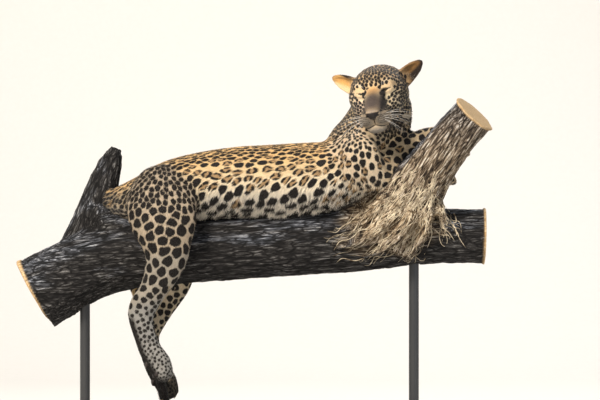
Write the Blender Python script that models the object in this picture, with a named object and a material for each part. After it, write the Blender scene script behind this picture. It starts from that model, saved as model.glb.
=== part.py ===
"""A life-size museum model of a leopard that rests astride a cut length of branch, on a plain display stand.

Metres, +Z up. The origin is the middle of the stand's underside, on the floor. The leopard lies along +X
with its head turned to look towards -Y, so its right side is the side at -Y.
The flesh is modelled as one skin from lofts and rounded forms, and is then parted into head, neck, torso,
legs and tail by thin cuts. The branch, the fork that rises from it and the broken stub are lofts too.
"""

import math

import bmesh
import bpy
from mathutils import Euler, Matrix, Vector
from mathutils.bvhtree import BVHTree

# Pieces that meet are parted by this gap. A cutter grows by it times a share that allows for slanting faces.
GAP = 0.0003
LIMB_CUTTER_GROWTH = 1.2
EAR_CUTTER_GROWTH = 1.5
ACROSS_BODY = Vector((0, 1, 0))
ACROSS_TAIL = Vector((1, 0, 0))

# The skin is fused at this voxel size, then thinned to a fine mesh, and all but the face is thinned again.
SKIN_VOXEL = 0.0035
FINE_TRIANGLES = 15000
SKIN_TRIANGLES = 6200
FACE_KEPT_AT = Vector((0, -0.050, -0.010))
FACE_KEPT_REACH = 0.118
THINNED_WEIGHT = 10
SKIN_SMOOTHING = 10
SMOOTHING_FACTOR = 0.5
FACE_FIRM_AT = Vector((0, -0.070, -0.020))
FACE_FIRM_REACH = 0.15
FACE_FIRM_EDGE = 2.5
FACE_FIRMNESS = 0.45

# A limb is cut from the body by a plain cutter that stands this far off it all round and past its toes.
LIMB_MARGIN = 0.011
PAST_TOES = 0.012
LIMB_CUTTER_VOXEL = 0.008
LIMB_CUTTER_TRIANGLES = 150
CUTTER_SPAN = 0.5

# A tube's ends are rounded by smaller rings: how far out each one is, and its size, in shares of the end's.
END_RINGS = ((0.88, 0.42), (0.55, 0.83))

# Cross-sections of the torso from rump to chest: x, height of the back, height of the belly, half width.
TORSO = (
    (-0.392, 0.632, 0.600, 0.020),
    (-0.375, 0.656, 0.578, 0.052),
    (-0.340, 0.679, 0.568, 0.080),
    (-0.286, 0.706, 0.566, 0.098),
    (-0.234, 0.735, 0.570, 0.105),
    (-0.156, 0.757, 0.578, 0.106),
    (-0.052, 0.773, 0.585, 0.112),
    (0.052, 0.779, 0.580, 0.120),
    (0.130, 0.783, 0.588, 0.123),
    (0.200, 0.786, 0.608, 0.118),
    (0.260, 0.785, 0.632, 0.104),
    (0.310, 0.775, 0.655, 0.080),
    (0.345, 0.755, 0.680, 0.050),
)

# Neck, from between the shoulders to the back of the skull: x, y, z, half width, half depth.
NECK = (
    (0.196, 0.010, 0.706, 0.085, 0.074),
    (0.242, 0.008, 0.755, 0.084, 0.077),
    (0.279, 0.000, 0.803, 0.079, 0.075),
    (0.302, -0.008, 0.852, 0.073, 0.069),
    (0.318, -0.015, 0.900, 0.064, 0.060),
)

# The front of the chest, below the throat: centre and radii.
CHEST = ((0.338, -0.004, 0.782), (0.050, 0.056, 0.050))

# The right hind leg hangs on the near side of the branch: z, x, y outwards, half depth, half width.
HIND_LEG = (
    (0.690, -0.262, 0.058, 0.060, 0.036),
    (0.650, -0.256, 0.085, 0.088, 0.050),
    (0.600, -0.251, 0.112, 0.095, 0.052),
    (0.550, -0.242, 0.133, 0.084, 0.050),
    (0.510, -0.238, 0.140, 0.066, 0.045),
    (0.473, -0.239, 0.140, 0.057, 0.040),
    (0.421, -0.260, 0.138, 0.044, 0.032),
    (0.388, -0.279, 0.136, 0.037, 0.026),
    (0.358, -0.299, 0.134, 0.040, 0.025),
    (0.325, -0.304, 0.132, 0.033, 0.024),
    (0.285, -0.294, 0.131, 0.030, 0.024),
    (0.247, -0.281, 0.130, 0.030, 0.026),
    (0.213, -0.259, 0.130, 0.033, 0.030),
    (0.187, -0.247, 0.130, 0.029, 0.031),
)
# The left one hangs lower and a little further forward. The difference grows from the hip down.
FAR_LEG_DROP = 0.058
FAR_LEG_FORWARD = 0.005
HIP_HEIGHT = 0.650
HIP_LENGTH = 0.10
# Where the leg is parted at the knee and the hock: x, z, the row whose y is used, and the way the cut faces.
KNEE_CUT = (-0.238, 0.497, 4, (0.10, 0, -1))
HOCK_CUT = (-0.292, 0.368, 8, (0.25, 0, -1))
TOE_RADIUS = 0.0130
TOE_SPACING = 1.15
TOE_REACH = (0.003, 0.010, 0.010, 0.003)

# Forelegs, from the shoulder blade to the toes: x, y, z, half width, half depth.
NEAR_FORELEG = (
    (0.225, -0.056, 0.765, 0.034, 0.056),
    (0.250, -0.084, 0.738, 0.042, 0.066),
    (0.275, -0.088, 0.712, 0.042, 0.052),
    (0.296, -0.078, 0.694, 0.038, 0.042),
    (0.326, -0.056, 0.712, 0.036, 0.038),
    (0.360, -0.040, 0.745, 0.034, 0.034),
    (0.400, -0.032, 0.775, 0.031, 0.031),
    (0.440, -0.030, 0.792, 0.029, 0.029),
    (0.470, -0.030, 0.793, 0.029, 0.027),
    (0.502, -0.032, 0.780, 0.034, 0.024),
    (0.526, -0.042, 0.758, 0.030, 0.019),
)
FAR_FORELEG = (
    (0.225, 0.056, 0.765, 0.034, 0.056),
    (0.250, 0.086, 0.735, 0.042, 0.066),
    (0.276, 0.095, 0.702, 0.042, 0.052),
    (0.302, 0.092, 0.676, 0.038, 0.042),
    (0.336, 0.080, 0.676, 0.036, 0.036),
    (0.372, 0.066, 0.692, 0.033, 0.033),
    (0.404, 0.052, 0.706, 0.030, 0.030),
    (0.432, 0.038, 0.712, 0.029, 0.028),
    (0.464, 0.018, 0.704, 0.033, 0.024),
    (0.490, -0.002, 0.686, 0.029, 0.019),
)
ELBOW_ROW = 3
ELBOW_OFFSET = Vector((0.010, 0, 0.004))
ELBOW_CUT = (1.0, 0.5, 0.35)
NEAR_WRIST_ROW = 8
FAR_WRIST_ROW = 7

# The tail falls over the far side of the branch: x, y, z, radius.
TAIL = (
    (-0.345, 0.002, 0.638, 0.034),
    (-0.378, 0.014, 0.632, 0.030),
    (-0.391, 0.046, 0.610, 0.026),
    (-0.387, 0.084, 0.565, 0.024),
    (-0.372, 0.113, 0.500, 0.0225),
    (-0.345, 0.118, 0.435, 0.0215),
    (-0.316, 0.098, 0.370, 0.021),
    (-0.294, 0.080, 0.300, 0.020),
    (-0.277, 0.072, 0.230, 0.0195),
    (-0.263, 0.070, 0.165, 0.019),
    (-0.252, 0.073, 0.110, 0.019),
    (-0.240, 0.080, 0.070, 0.0185),
    (-0.223, 0.090, 0.054, 0.017),
    (-0.204, 0.100, 0.063, 0.012),
)
# The rows that it is parted at, and the way each cut faces.
TAIL_CUTS = ((4, (0.3, 0.1, -1)), (8, (0.2, 0, -1)))

# The head's own frame has its origin in the middle of the skull: -y is forwards, +x is the leopard's left.
HEAD_AT = Vector((0.3085, -0.050, 0.908))
HEAD_YAW = math.radians(-11.3)
HEAD_PITCH = math.radians(8)
HEAD_ROLL = math.radians(-10)

# The head is parted from the neck behind the jaw, and the neck from the torso above the shoulders: a place on
# each cut, how it leans, and the cutter's size. The head's cut is in the head's frame.
HEAD_CUT_AT = (0, 0.020, -0.088)
HEAD_CUT_TILT = math.radians(27)
HEAD_CUT_SIZE = (0.30, 0.42, 0.30)
NECK_CUT_AT = (0.222, 0, 0.778)
NECK_CUT_FACES = Vector((0.60, 0, 0.80))
NECK_CUT_SIZE = (0.30, 0.34, 0.30)

# The head's rounded masses in its own frame: centre and radii. Those off the middle are made on both sides.
HEAD_MASSES = (
    ((0, 0.020, 0.014), (0.071, 0.085, 0.0565)),
    ((0, -0.030, 0.028), (0.056, 0.050, 0.038)),
    ((0, -0.1465, -0.0415), (0.0205, 0.0085, 0.0125)),
    ((0, -0.1180, -0.0820), (0.0265, 0.0215, 0.0125)),
    ((0.034, -0.050, 0.028), (0.025, 0.023, 0.014)),
    ((0.040, -0.018, 0.018), (0.029, 0.046, 0.031)),
    ((0.038, -0.042, -0.012), (0.028, 0.030, 0.024)),
    ((0.046, -0.008, -0.008), (0.033, 0.058, 0.044)),
    ((0.042, 0.012, -0.048), (0.033, 0.050, 0.045)),
    ((0.036, 0.030, -0.082), (0.031, 0.045, 0.040)),
    ((0.0195, -0.113, -0.0560), (0.0265, 0.0335, 0.0215)),
    ((0.0375, -0.046, -0.033), (0.0290, 0.0400, 0.0310)),
)
# Its lofted masses: x, y, z, half width, half height.
NOSE_BRIDGE = (
    (0, -0.045, 0.010, 0.0290, 0.0260),
    (0, -0.092, -0.014, 0.0255, 0.0225),
    (0, -0.130, -0.036, 0.0225, 0.0165),
)
MUZZLE = (
    (0, -0.040, -0.030, 0.046, 0.040),
    (0, -0.085, -0.045, 0.041, 0.033),
    (0, -0.115, -0.053, 0.036, 0.024),
)
JAW = (
    (0, 0.030, -0.055, 0.050, 0.036),
    (0, -0.025, -0.068, 0.042, 0.028),
    (0, -0.075, -0.076, 0.028, 0.019),
    (0, -0.105, -0.079, 0.020, 0.014),
)

# Eyes, under lids that are nearly shut. The slit runs from the inner corner to the outer one.
EYE_AT = Vector((0.0350, -0.0575, 0.0095))
EYE_RADIUS = 0.0155
LID_THICKNESS = 0.0045
SOCKET_SIZE = 1.06
EYE_SLIT = (
    (0.0195, -0.0700, 0.0030, 0.0007, 0.0070),
    (0.0270, -0.0740, 0.0065, 0.0024, 0.0090),
    (0.0350, -0.0750, 0.0095, 0.0028, 0.0100),
    (0.0430, -0.0720, 0.0118, 0.0022, 0.0090),
    (0.0505, -0.0660, 0.0132, 0.0007, 0.0060),
)

# Half of the line of the mouth, from under the nose to its corner, and the groove above it. Both are cut in.
MOUTH_LINE = (
    (0.000, -0.150, -0.0665),
    (0.009, -0.150, -0.0720),
    (0.020, -0.146, -0.0765),
    (0.031, -0.132, -0.0785),
    (0.041, -0.110, -0.0775),
    (0.050, -0.084, -0.0730),
    (0.057, -0.060, -0.0660),
)
MOUTH_GROOVE = (0.0013, 0.0040)
GROOVE_END_DEPTH = 0.35
PHILTRUM_AT = (0, -0.1440, -0.0600)
PHILTRUM_SIZE = (0.0018, 0.0100, 0.0150)
NOSTRIL_AT = Vector((0.0115, -0.1535, -0.0450))
NOSTRIL_RADII = Vector((0.0052, 0.0075, 0.0029))
NOSTRIL_TILT = math.radians(28)

# Ears: the middle of the base and the tip in the head's frame, then height, half width and half depth.
EAR_BASE = Vector((0.060, 0.026, 0.019))
EAR_TIP = Vector((0.121, 0.034, 0.058))
EAR_ROWS = (
    (-0.024, 0.022, 0.017),
    (0.000, 0.025, 0.019),
    (0.020, 0.023, 0.017),
    (0.040, 0.020, 0.013),
    (0.056, 0.015, 0.009),
    (0.066, 0.009, 0.006),
)
EAR_WALL = 0.0035
EAR_CUP_FORWARD = 0.0095
EAR_CUP_BOTTOM = 0.004

# The perch, as x, y, z, radius: the branch, the fork that rises from it and the broken stub behind the rump.
BRANCH = (
    (-0.585, 0.000, 0.385, 0.099),
    (-0.481, 0.000, 0.442, 0.094),
    (-0.390, 0.000, 0.474, 0.089),
    (-0.286, 0.000, 0.486, 0.085),
    (-0.156, 0.000, 0.496, 0.083),
    (-0.026, 0.000, 0.504, 0.082),
    (0.104, 0.000, 0.515, 0.083),
    (0.234, 0.000, 0.525, 0.084),
    (0.364, 0.000, 0.536, 0.080),
    (0.468, 0.000, 0.538, 0.074),
    (0.585, 0.000, 0.536, 0.074),
)
FORK = (
    (0.322, 0.000, 0.520, 0.095),
    (0.366, -0.014, 0.590, 0.092),
    (0.400, -0.045, 0.650, 0.082),
    (0.434, -0.080, 0.702, 0.070),
    (0.494, -0.125, 0.785, 0.062),
    (0.551, -0.150, 0.850, 0.060),
)
FORK_SPUR = (
    (0.385, -0.040, 0.620, 0.062),
    (0.318, -0.052, 0.562, 0.050),
    (0.262, -0.058, 0.530, 0.034),
    (0.216, -0.060, 0.518, 0.016),
)
STUB = (
    (-0.474, 0.030, 0.470, 0.070),
    (-0.447, 0.045, 0.555, 0.058),
    (-0.418, 0.056, 0.650, 0.046),
    (-0.392, 0.064, 0.728, 0.034),
    (-0.376, 0.068, 0.768, 0.016),
)
BARK_RIDGES = 7
BARK_RELIEF = 0.035
BARK_TWIST = (0.35, 0.5)
BRANCH_SIDES = 24
FORK_SIDES = 18
SPUR_SIDES = 12
STUB_SIDES = 12
WOOD_STEPS = 2

BASE_SIZE = Vector((0.94, 0.44, 0.020))
BASE_CORNER = 0.030
BASE_EDGE = 0.003
ROD_RADIUS = 0.013
ROD_SIDES = 24
ROD_X = (-0.455, 0.400)
ROD_IN_BRANCH = 0.050
SHARP_ANGLE = math.radians(50)


def material(name, colour, roughness, metallic=0.0):
    made = bpy.data.materials.new(name)
    made.use_nodes = True
    shader = made.node_tree.nodes["Principled BSDF"]
    shader.inputs["Base Color"].default_value = (*colour, 1)
    shader.inputs["Roughness"].default_value = roughness
    shader.inputs["Metallic"].default_value = metallic
    made.diffuse_color = (*colour, 1)
    return made


def smooth_between(rows, steps):
    """The rows with a Catmull-Rom curve through them, as Vectors of any length."""
    points = [Vector(row) for row in rows]
    points = [2 * points[0] - points[1], *points, 2 * points[-1] - points[-2]]
    curve = []
    for i in range(1, len(points) - 2):
        before, start, end, after = points[i - 1 : i + 3]
        for step in range(steps):
            t = step / steps
            linear = (end - before) * t
            square = (2 * before - 5 * start + 4 * end - after) * t * t
            cube = (3 * start - before - 3 * end + after) * t * t * t
            curve.append(0.5 * (2 * start + linear + square + cube))
    return [*curve, points[-2]]


def loft(form, rows, across, sides=20, steps=3, swell=0.0, flat=False, relief=0.0):
    """Adds a closed tube to the bmesh: each row is x, y, z, half width, half depth, swollen by swell."""
    stations = smooth_between(rows, steps)
    centres = [Vector(s[:3]) for s in stations]
    rings = []
    for i, station in enumerate(stations):
        ahead = centres[min(i + 1, len(centres) - 1)] - centres[max(i - 1, 0)]
        side = (across - across.project(ahead)).normalized()
        up = ahead.normalized().cross(side)
        rings.append((centres[i], side * (station[3] + swell), up * (station[4] + swell)))
    if not flat:
        rings = [*round_end(rings[0], centres[0] - centres[1]), *rings]
        rings += reversed(round_end(rings[-1], centres[-1] - centres[-2]))
    twist, pace = BARK_TWIST
    loops = []
    for i, (centre, side, up) in enumerate(rings):
        loop = []
        for k in range(sides):
            angle = 2 * math.pi * k / sides
            ridge = 1 + relief * math.sin(BARK_RIDGES * angle + twist * math.sin(pace * i))
            loop.append(form.verts.new(centre + ridge * (math.cos(angle) * side + math.sin(angle) * up)))
        loops.append(loop)
    for low, high in zip(loops, loops[1:]):
        for k in range(sides):
            form.faces.new((low[k], low[k - 1], high[k - 1]))
            form.faces.new((low[k], high[k - 1], high[k]))
    form.faces.new(loops[0])
    form.faces.new(reversed(loops[-1]))


def round_end(ring, outward):
    """Two smaller rings that round off the end of a tube, the outermost first."""
    centre, side, up = ring
    reach = min(side.length, up.length) * outward.normalized()
    return [(centre + out * reach, size * side, size * up) for out, size in END_RINGS]


def ball(form, centre, radii, place=Matrix.Identity(4), detail=3):
    """Adds an ellipsoid to the bmesh."""
    matrix = place @ Matrix.Translation(Vector(centre)) @ Matrix.Diagonal((*radii, 1))
    bmesh.ops.create_icosphere(form, subdivisions=detail, radius=1, matrix=matrix)


def object_from(form, name):
    """A mesh object from the bmesh, with its faces pointing out."""
    bmesh.ops.recalc_face_normals(form, faces=form.faces)
    mesh = bpy.data.meshes.new(name)
    form.to_mesh(mesh)
    form.free()
    made = bpy.data.objects.new(name, mesh)
    bpy.context.scene.collection.objects.link(made)
    return made


def settle(made):
    """Makes the object's modifiers part of its mesh."""
    graph = bpy.context.evaluated_depsgraph_get()
    mesh = bpy.data.meshes.new_from_object(made.evaluated_get(graph))
    made.modifiers.clear()
    old = made.data
    made.data = mesh
    bpy.data.meshes.remove(old)
    return made


def discard(*made):
    for each in made:
        bpy.data.objects.remove(each)


def copy_of(made, name):
    twin = made.copy()
    twin.data = made.data.copy()
    twin.name = name
    bpy.context.scene.collection.objects.link(twin)
    return twin


def cut(made, *cutters, operation="DIFFERENCE"):
    """Cuts the object by each cutter, or keeps or adds what the operation says, and removes the cutters."""
    for cutter in cutters:
        boolean = made.modifiers.new("cut", "BOOLEAN")
        boolean.operation = operation
        boolean.solver = "EXACT"
        boolean.object = cutter
        settle(made)
    discard(*cutters)
    return made


def keep_largest(made, name):
    """Keeps the object's largest closed surface, and names the object."""
    form = bmesh.new()
    form.from_mesh(made.data)
    form.verts.ensure_lookup_table()
    seen = set()
    largest = set()
    for vert in form.verts:
        if vert in seen:
            continue
        group = {vert}
        queue = [vert]
        while queue:
            for edge in queue.pop().link_edges:
                for other in edge.verts:
                    if other not in group:
                        group.add(other)
                        queue.append(other)
        seen |= group
        if len(group) > len(largest):
            largest = group
    bmesh.ops.delete(form, geom=[v for v in form.verts if v not in largest], context="VERTS")
    form.to_mesh(made.data)
    form.free()
    made.name = name
    return made


def take(rest, cutter, grown, name):
    """Parts the flesh inside the cutter from the rest, along a thin gap, and returns it."""
    piece = cut(copy_of(rest, name), cutter, operation="INTERSECT")
    cut(rest, grown)
    return keep_largest(piece, name)


def remesh(made, voxel):
    """Fuses everything in the object into closed surfaces."""
    fuse = made.modifiers.new("fuse", "REMESH")
    fuse.mode = "VOXEL"
    fuse.voxel_size = voxel
    return settle(made)


def triangles_in(made):
    return sum(len(face.vertices) - 2 for face in made.data.polygons)


def thin_out(made, triangles, kept=None):
    """Thins the mesh to about this many triangles, and leaves the vertices that kept is true for."""
    thin = made.modifiers.new("thin", "DECIMATE")
    thin.ratio = min(1.0, triangles / triangles_in(made))
    thin.use_collapse_triangulate = True
    if kept:
        group = made.vertex_groups.new(name="thinned")
        group.add([vert.index for vert in made.data.vertices if not kept(vert.co)], 1, "REPLACE")
        thin.vertex_group = group.name
        thin.vertex_group_factor = THINNED_WEIGHT
    settle(made)
    made.vertex_groups.clear()
    return made


def slab(centre, size, place=Matrix.Identity(4), grow=0.0):
    """A box-shaped cutter."""
    form = bmesh.new()
    scale = Matrix.Diagonal((*(s + 2 * grow for s in size), 1))
    bmesh.ops.create_cube(form, size=1, matrix=place @ Matrix.Translation(Vector(centre)) @ scale)
    return object_from(form, "cutter")


def limb_cutters(rows, across):
    """A plain cutter round a limb, and the same cutter grown by the gap."""
    last, before = Vector(rows[-1][:3]), Vector(rows[-2][:3])
    past_toes = (*(last + (last - before).normalized() * PAST_TOES), *rows[-1][3:])
    form = bmesh.new()
    loft(form, [*rows, past_toes], across, swell=LIMB_MARGIN)
    cutter = thin_out(remesh(object_from(form, "cutter"), LIMB_CUTTER_VOXEL), LIMB_CUTTER_TRIANGLES)
    grown = copy_of(cutter, "cutter")
    for vert, slim in zip(grown.data.vertices, cutter.data.vertices):
        vert.co = slim.co + slim.normal * GAP * LIMB_CUTTER_GROWTH
    return cutter, grown


def head_place():
    turn = Euler((0, 0, HEAD_YAW)).to_matrix() @ Euler((HEAD_PITCH, 0, 0)).to_matrix()
    turn = turn @ Euler((0, HEAD_ROLL, 0)).to_matrix()
    return Matrix.Translation(HEAD_AT) @ turn.to_4x4()


def placed(rows, place):
    """Rows moved from a part's own frame."""
    return [(*(place @ Vector(row[:3])), *row[3:]) for row in rows]


def mirrored(rows, side):
    return [(side * row[0], *row[1:]) for row in rows]


def leg_rows(side, drop, forward):
    """The hind leg's rows for one side: below the hip, the leg hangs lower by drop and further forward."""
    rows = []
    for z, x, y, deep, wide in HIND_LEG:
        share = min(1.0, max(0.0, (HIP_HEIGHT - z) / HIP_LENGTH))
        rows.append((x + share * forward, side * y, z - share * drop, wide, deep))
    return rows


def add_head(form, place):
    """Skull, forehead, muzzle, cheeks and jaw, in the head's own frame."""
    across = place.to_3x3() @ Vector((1, 0, 0))
    for rows in (NOSE_BRIDGE, MUZZLE, JAW):
        loft(form, placed(rows, place), across)
    lid = EYE_RADIUS + LID_THICKNESS
    for centre, radii in (*HEAD_MASSES, (EYE_AT, (lid, lid, lid))):
        for side in (1, -1) if centre[0] else (1,):
            ball(form, (side * centre[0], *centre[1:]), radii, place)


def add_toes(form, rows):
    """Four toes across the end of a paw, the middle two the longest."""
    tip = Vector(rows[-1][:3])
    ahead = (tip - Vector(rows[-2][:3])).normalized()
    side = (ACROSS_BODY - ACROSS_BODY.project(ahead)).normalized()
    for k, reach in enumerate(TOE_REACH):
        middle = tip + side * (k - 1.5) * TOE_SPACING * TOE_RADIUS + ahead * reach
        ball(form, middle, (TOE_RADIUS, TOE_RADIUS, TOE_RADIUS), detail=2)


def skin():
    """The whole leopard's flesh as one closed surface."""
    form = bmesh.new()
    torso = [(x, 0, (top + bottom) / 2, wide, (top - bottom) / 2) for x, top, bottom, wide in TORSO]
    loft(form, torso, ACROSS_BODY, sides=28)
    loft(form, NECK, ACROSS_BODY, sides=24)
    ball(form, *CHEST)
    near_leg = leg_rows(-1, 0, 0)
    far_leg = leg_rows(1, FAR_LEG_DROP, FAR_LEG_FORWARD)
    for rows in (near_leg, far_leg, NEAR_FORELEG, FAR_FORELEG):
        loft(form, rows, ACROSS_BODY)
        add_toes(form, rows)
    loft(form, [(*row, row[3]) for row in TAIL], ACROSS_TAIL, sides=16)
    add_head(form, head_place())
    whole = remesh(object_from(form, "skin"), SKIN_VOXEL)
    soften(whole)
    thin_out(whole, FINE_TRIANGLES)
    face = head_place() @ FACE_KEPT_AT
    return thin_out(whole, SKIN_TRIANGLES, kept=lambda at: (at - face).length < FACE_KEPT_REACH)


def soften(whole):
    """Rounds the creases where forms meet, and leaves the face nearly as it is."""
    face = head_place() @ FACE_FIRM_AT
    group = whole.vertex_groups.new(name="body")
    for vert in whole.data.vertices:
        nearness = 1 - (vert.co - face).length / FACE_FIRM_REACH
        firm = FACE_FIRMNESS * min(1.0, max(0.0, FACE_FIRM_EDGE * nearness))
        group.add([vert.index], 1 - firm, "REPLACE")
    smooth = whole.modifiers.new("soften", "SMOOTH")
    smooth.factor = SMOOTHING_FACTOR
    smooth.iterations = SKIN_SMOOTHING
    smooth.vertex_group = "body"
    settle(whole)
    whole.vertex_groups.clear()


def groove(made, path, half_width, depth):
    """A narrow cutter that follows the path where it falls on the object's surface."""
    tree = BVHTree.FromPolygons([v.co for v in made.data.vertices], [p.vertices for p in made.data.polygons])
    points = []
    for point in smooth_between(path, 3):
        at, normal, _, _ = tree.find_nearest(point)
        points.append((at, normal))
    form = bmesh.new()
    loops = []
    for i, (at, normal) in enumerate(points):
        ahead = points[min(i + 1, len(points) - 1)][0] - points[max(i - 1, 0)][0]
        beside = normal.cross(ahead).normalized()
        taper = GROOVE_END_DEPTH if i in (0, len(points) - 1) else 1.0
        section = (2 * depth * normal, half_width * beside, -depth * taper * normal, -half_width * beside)
        loops.append([form.verts.new(at + offset) for offset in section])
    for low, high in zip(loops, loops[1:]):
        for k in range(4):
            form.faces.new((low[k], low[k - 1], high[k - 1], high[k]))
    form.faces.new(loops[0])
    form.faces.new(reversed(loops[-1]))
    return object_from(form, "cutter")


def cut_face(head):
    """Cuts the eye sockets with their slits, the nostrils, the line of the mouth and the groove above it."""
    place = head_place()
    up = place.to_3x3() @ Vector((0, 0, 1))
    for side in (1, -1):
        form = bmesh.new()
        socket = SOCKET_SIZE * (EYE_RADIUS + GAP)
        ball(form, (side * EYE_AT.x, *EYE_AT[1:]), (socket, socket, socket), place, detail=2)
        cut(head, object_from(form, "cutter"))
        form = bmesh.new()
        loft(form, placed(mirrored(EYE_SLIT, side), place), up, sides=12)
        cut(head, object_from(form, "cutter"))
        form = bmesh.new()
        tilt = Euler((0, side * NOSTRIL_TILT, 0)).to_matrix().to_4x4()
        spot = Matrix.Translation((side * NOSTRIL_AT.x, *NOSTRIL_AT[1:])) @ tilt
        ball(form, (0, 0, 0), NOSTRIL_RADII, place @ spot, detail=2)
        cut(head, object_from(form, "cutter"))
    mouth = [*reversed(mirrored(MOUTH_LINE, -1)), *MOUTH_LINE[1:]]
    cut(head, groove(head, placed(mouth, place), *MOUTH_GROOVE))
    cut(head, slab(PHILTRUM_AT, PHILTRUM_SIZE, place))
    return keep_largest(head, "head")


def make_eyes():
    eyes = []
    for name, side in (("eye_left", 1), ("eye_right", -1)):
        form = bmesh.new()
        ball(form, (side * EYE_AT.x, *EYE_AT[1:]), (EYE_RADIUS, EYE_RADIUS, EYE_RADIUS), head_place())
        eyes.append(object_from(form, name))
    return eyes


def make_ear(name, side, flesh):
    """A cupped ear that stands on the head with its opening forwards."""
    base = Vector((side * EAR_BASE.x, *EAR_BASE[1:]))
    tip = Vector((side * EAR_TIP.x, *EAR_TIP[1:]))
    along = (tip - base).normalized()
    back = Vector((side * -0.25, 1, 0))
    back = (back - back.project(along)).normalized()
    turn = Matrix((back.cross(along), back, along)).transposed().to_4x4()
    place = head_place() @ Matrix.Translation(base) @ turn
    across = place.to_3x3() @ Vector((1, 0, 0))
    shell = bmesh.new()
    loft(shell, placed([(0, 0, z, wide, deep) for z, wide, deep in EAR_ROWS], place), across, 16, 2)
    ear = object_from(shell, name)
    cup = bmesh.new()
    rows = [(0, -EAR_CUP_FORWARD, z, wide - EAR_WALL, deep) for z, wide, deep in EAR_ROWS[1:-1]]
    rows[0] = (*rows[0][:2], EAR_CUP_BOTTOM, *rows[0][3:])
    loft(cup, placed(rows, place), across, 14, 2)
    cut(ear, object_from(cup, "cutter"))
    for piece in flesh:
        grown = copy_of(piece, "cutter")
        for vert, slim in zip(grown.data.vertices, piece.data.vertices):
            vert.co = slim.co + slim.normal * GAP * EAR_CUTTER_GROWTH
        cut(ear, grown)
    return keep_largest(ear, name)


def wood(rows, swell, name, sides, flat=True):
    """A length of branch with bark ridges."""
    form = bmesh.new()
    loft(form, [(*row, row[3]) for row in rows], ACROSS_BODY, sides, WOOD_STEPS, swell, flat, BARK_RELIEF)
    return object_from(form, name)


def fork_wood(swell, name):
    """The fork with the spur of its root that runs back along the branch."""
    fork = wood(FORK, swell, name, FORK_SIDES)
    return cut(fork, wood(FORK_SPUR, swell, "spur", SPUR_SIDES, flat=False), operation="UNION")


def make_rods():
    """Two upright rods from the base into the branch."""
    rods = []
    for i, x in enumerate(ROD_X):
        rods.append(rod(x, 0, f"stand_rod_{i + 1}"))
    return rods


def rod(x, swell, name):
    bottom = BASE_SIZE.z + GAP - swell
    rows = smooth_between(BRANCH, 12)
    over = min(rows, key=lambda row: abs(row[0] - x))
    top = over[2] - over[3] + ROD_IN_BRANCH + swell
    form = bmesh.new()
    middle = Matrix.Translation((x, 0, (top + bottom) / 2))
    size = {"radius1": ROD_RADIUS + swell, "radius2": ROD_RADIUS + swell, "depth": top - bottom}
    bmesh.ops.create_cone(form, cap_ends=True, segments=ROD_SIDES, matrix=middle, **size)
    return object_from(form, name)


def make_base():
    """A flat plate with rounded corners and eased edges."""
    form = bmesh.new()
    raised = Matrix.Translation((0, 0, BASE_SIZE.z / 2))
    bmesh.ops.create_cube(form, size=1, matrix=raised @ Matrix.Diagonal((*BASE_SIZE, 1)))
    upright = [e for e in form.edges if abs(e.verts[0].co.z - e.verts[1].co.z) > BASE_SIZE.z / 2]
    bmesh.ops.bevel(form, geom=upright, offset=BASE_CORNER, segments=6, profile=0.5, affect="EDGES")
    rim = [e for e in form.edges if min(v.co.z for v in e.verts) > BASE_SIZE.z - 1e-6]
    bmesh.ops.bevel(form, geom=rim, offset=BASE_EDGE, segments=2, profile=0.5, affect="EDGES")
    return object_from(form, "stand_base")


def make_perch():
    """The branch, the fork and the stub, each cut clear of the branch that it grows from."""
    branch = wood(BRANCH, 0, "perch_branch", BRANCH_SIDES)
    cut(branch, *(rod(x, GAP, "cutter") for x in ROD_X))
    fork = cut(fork_wood(0, "perch_fork"), wood(BRANCH, GAP, "cutter", BRANCH_SIDES))
    stub = cut(wood(STUB, 0, "perch_stub", STUB_SIDES), wood(BRANCH, GAP, "cutter", BRANCH_SIDES))
    return branch, keep_largest(fork, "perch_fork"), keep_largest(stub, "perch_stub")


def part_across(limb, point, normal, near_name, beyond_name):
    """Parts a limb across at the point. What lies on the normal's side is beyond."""
    place = Matrix.Translation(point) @ Vector(normal).to_track_quat("Z", "Y").to_matrix().to_4x4()
    size = (CUTTER_SPAN, CUTTER_SPAN, CUTTER_SPAN)
    cutter = slab((0, 0, CUTTER_SPAN / 2), size, place)
    grown = slab((0, 0, CUTTER_SPAN / 2 - GAP), size, place)
    beyond = take(limb, cutter, grown, beyond_name)
    return [keep_largest(limb, near_name), beyond]


def part_hind_leg(leg, rows, side, drop):
    knee_x, knee_z, knee_row, knee_faces = KNEE_CUT
    hock_x, hock_z, hock_row, hock_faces = HOCK_CUT
    knee = (knee_x, rows[knee_row][1], knee_z - drop)
    hock = (hock_x, rows[hock_row][1], hock_z - drop)
    thigh, shin = part_across(leg, knee, knee_faces, f"hind_{side}_thigh", "shin")
    return [thigh, *part_across(shin, hock, hock_faces, f"hind_{side}_shin", f"hind_{side}_foot")]


def part_foreleg(leg, rows, side, wrist):
    elbow = Vector(rows[ELBOW_ROW][:3]) + ELBOW_OFFSET
    upper, lower = part_across(leg, elbow, ELBOW_CUT, f"fore_{side}_upper", "lower")
    at = Vector(rows[wrist][:3])
    ahead = Vector(rows[wrist + 1][:3]) - at
    return [upper, *part_across(lower, at, ahead, f"fore_{side}_lower", f"fore_{side}_paw")]


def part_tail(tail):
    (root_row, root_faces), (tip_row, tip_faces) = TAIL_CUTS
    root, rest = part_across(tail, Vector(TAIL[root_row][:3]), root_faces, "tail_root", "rest")
    return [root, *part_across(rest, Vector(TAIL[tip_row][:3]), tip_faces, "tail_middle", "tail_tip")]


def take_end(whole, place, size, name):
    """Parts off all that lies beyond a plane, given by the frame whose z axis points away from the rest."""
    middle = (0, 0, size[2] / 2)
    return take(whole, slab(middle, size, place), slab(middle, size, place, GAP), name)


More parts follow.
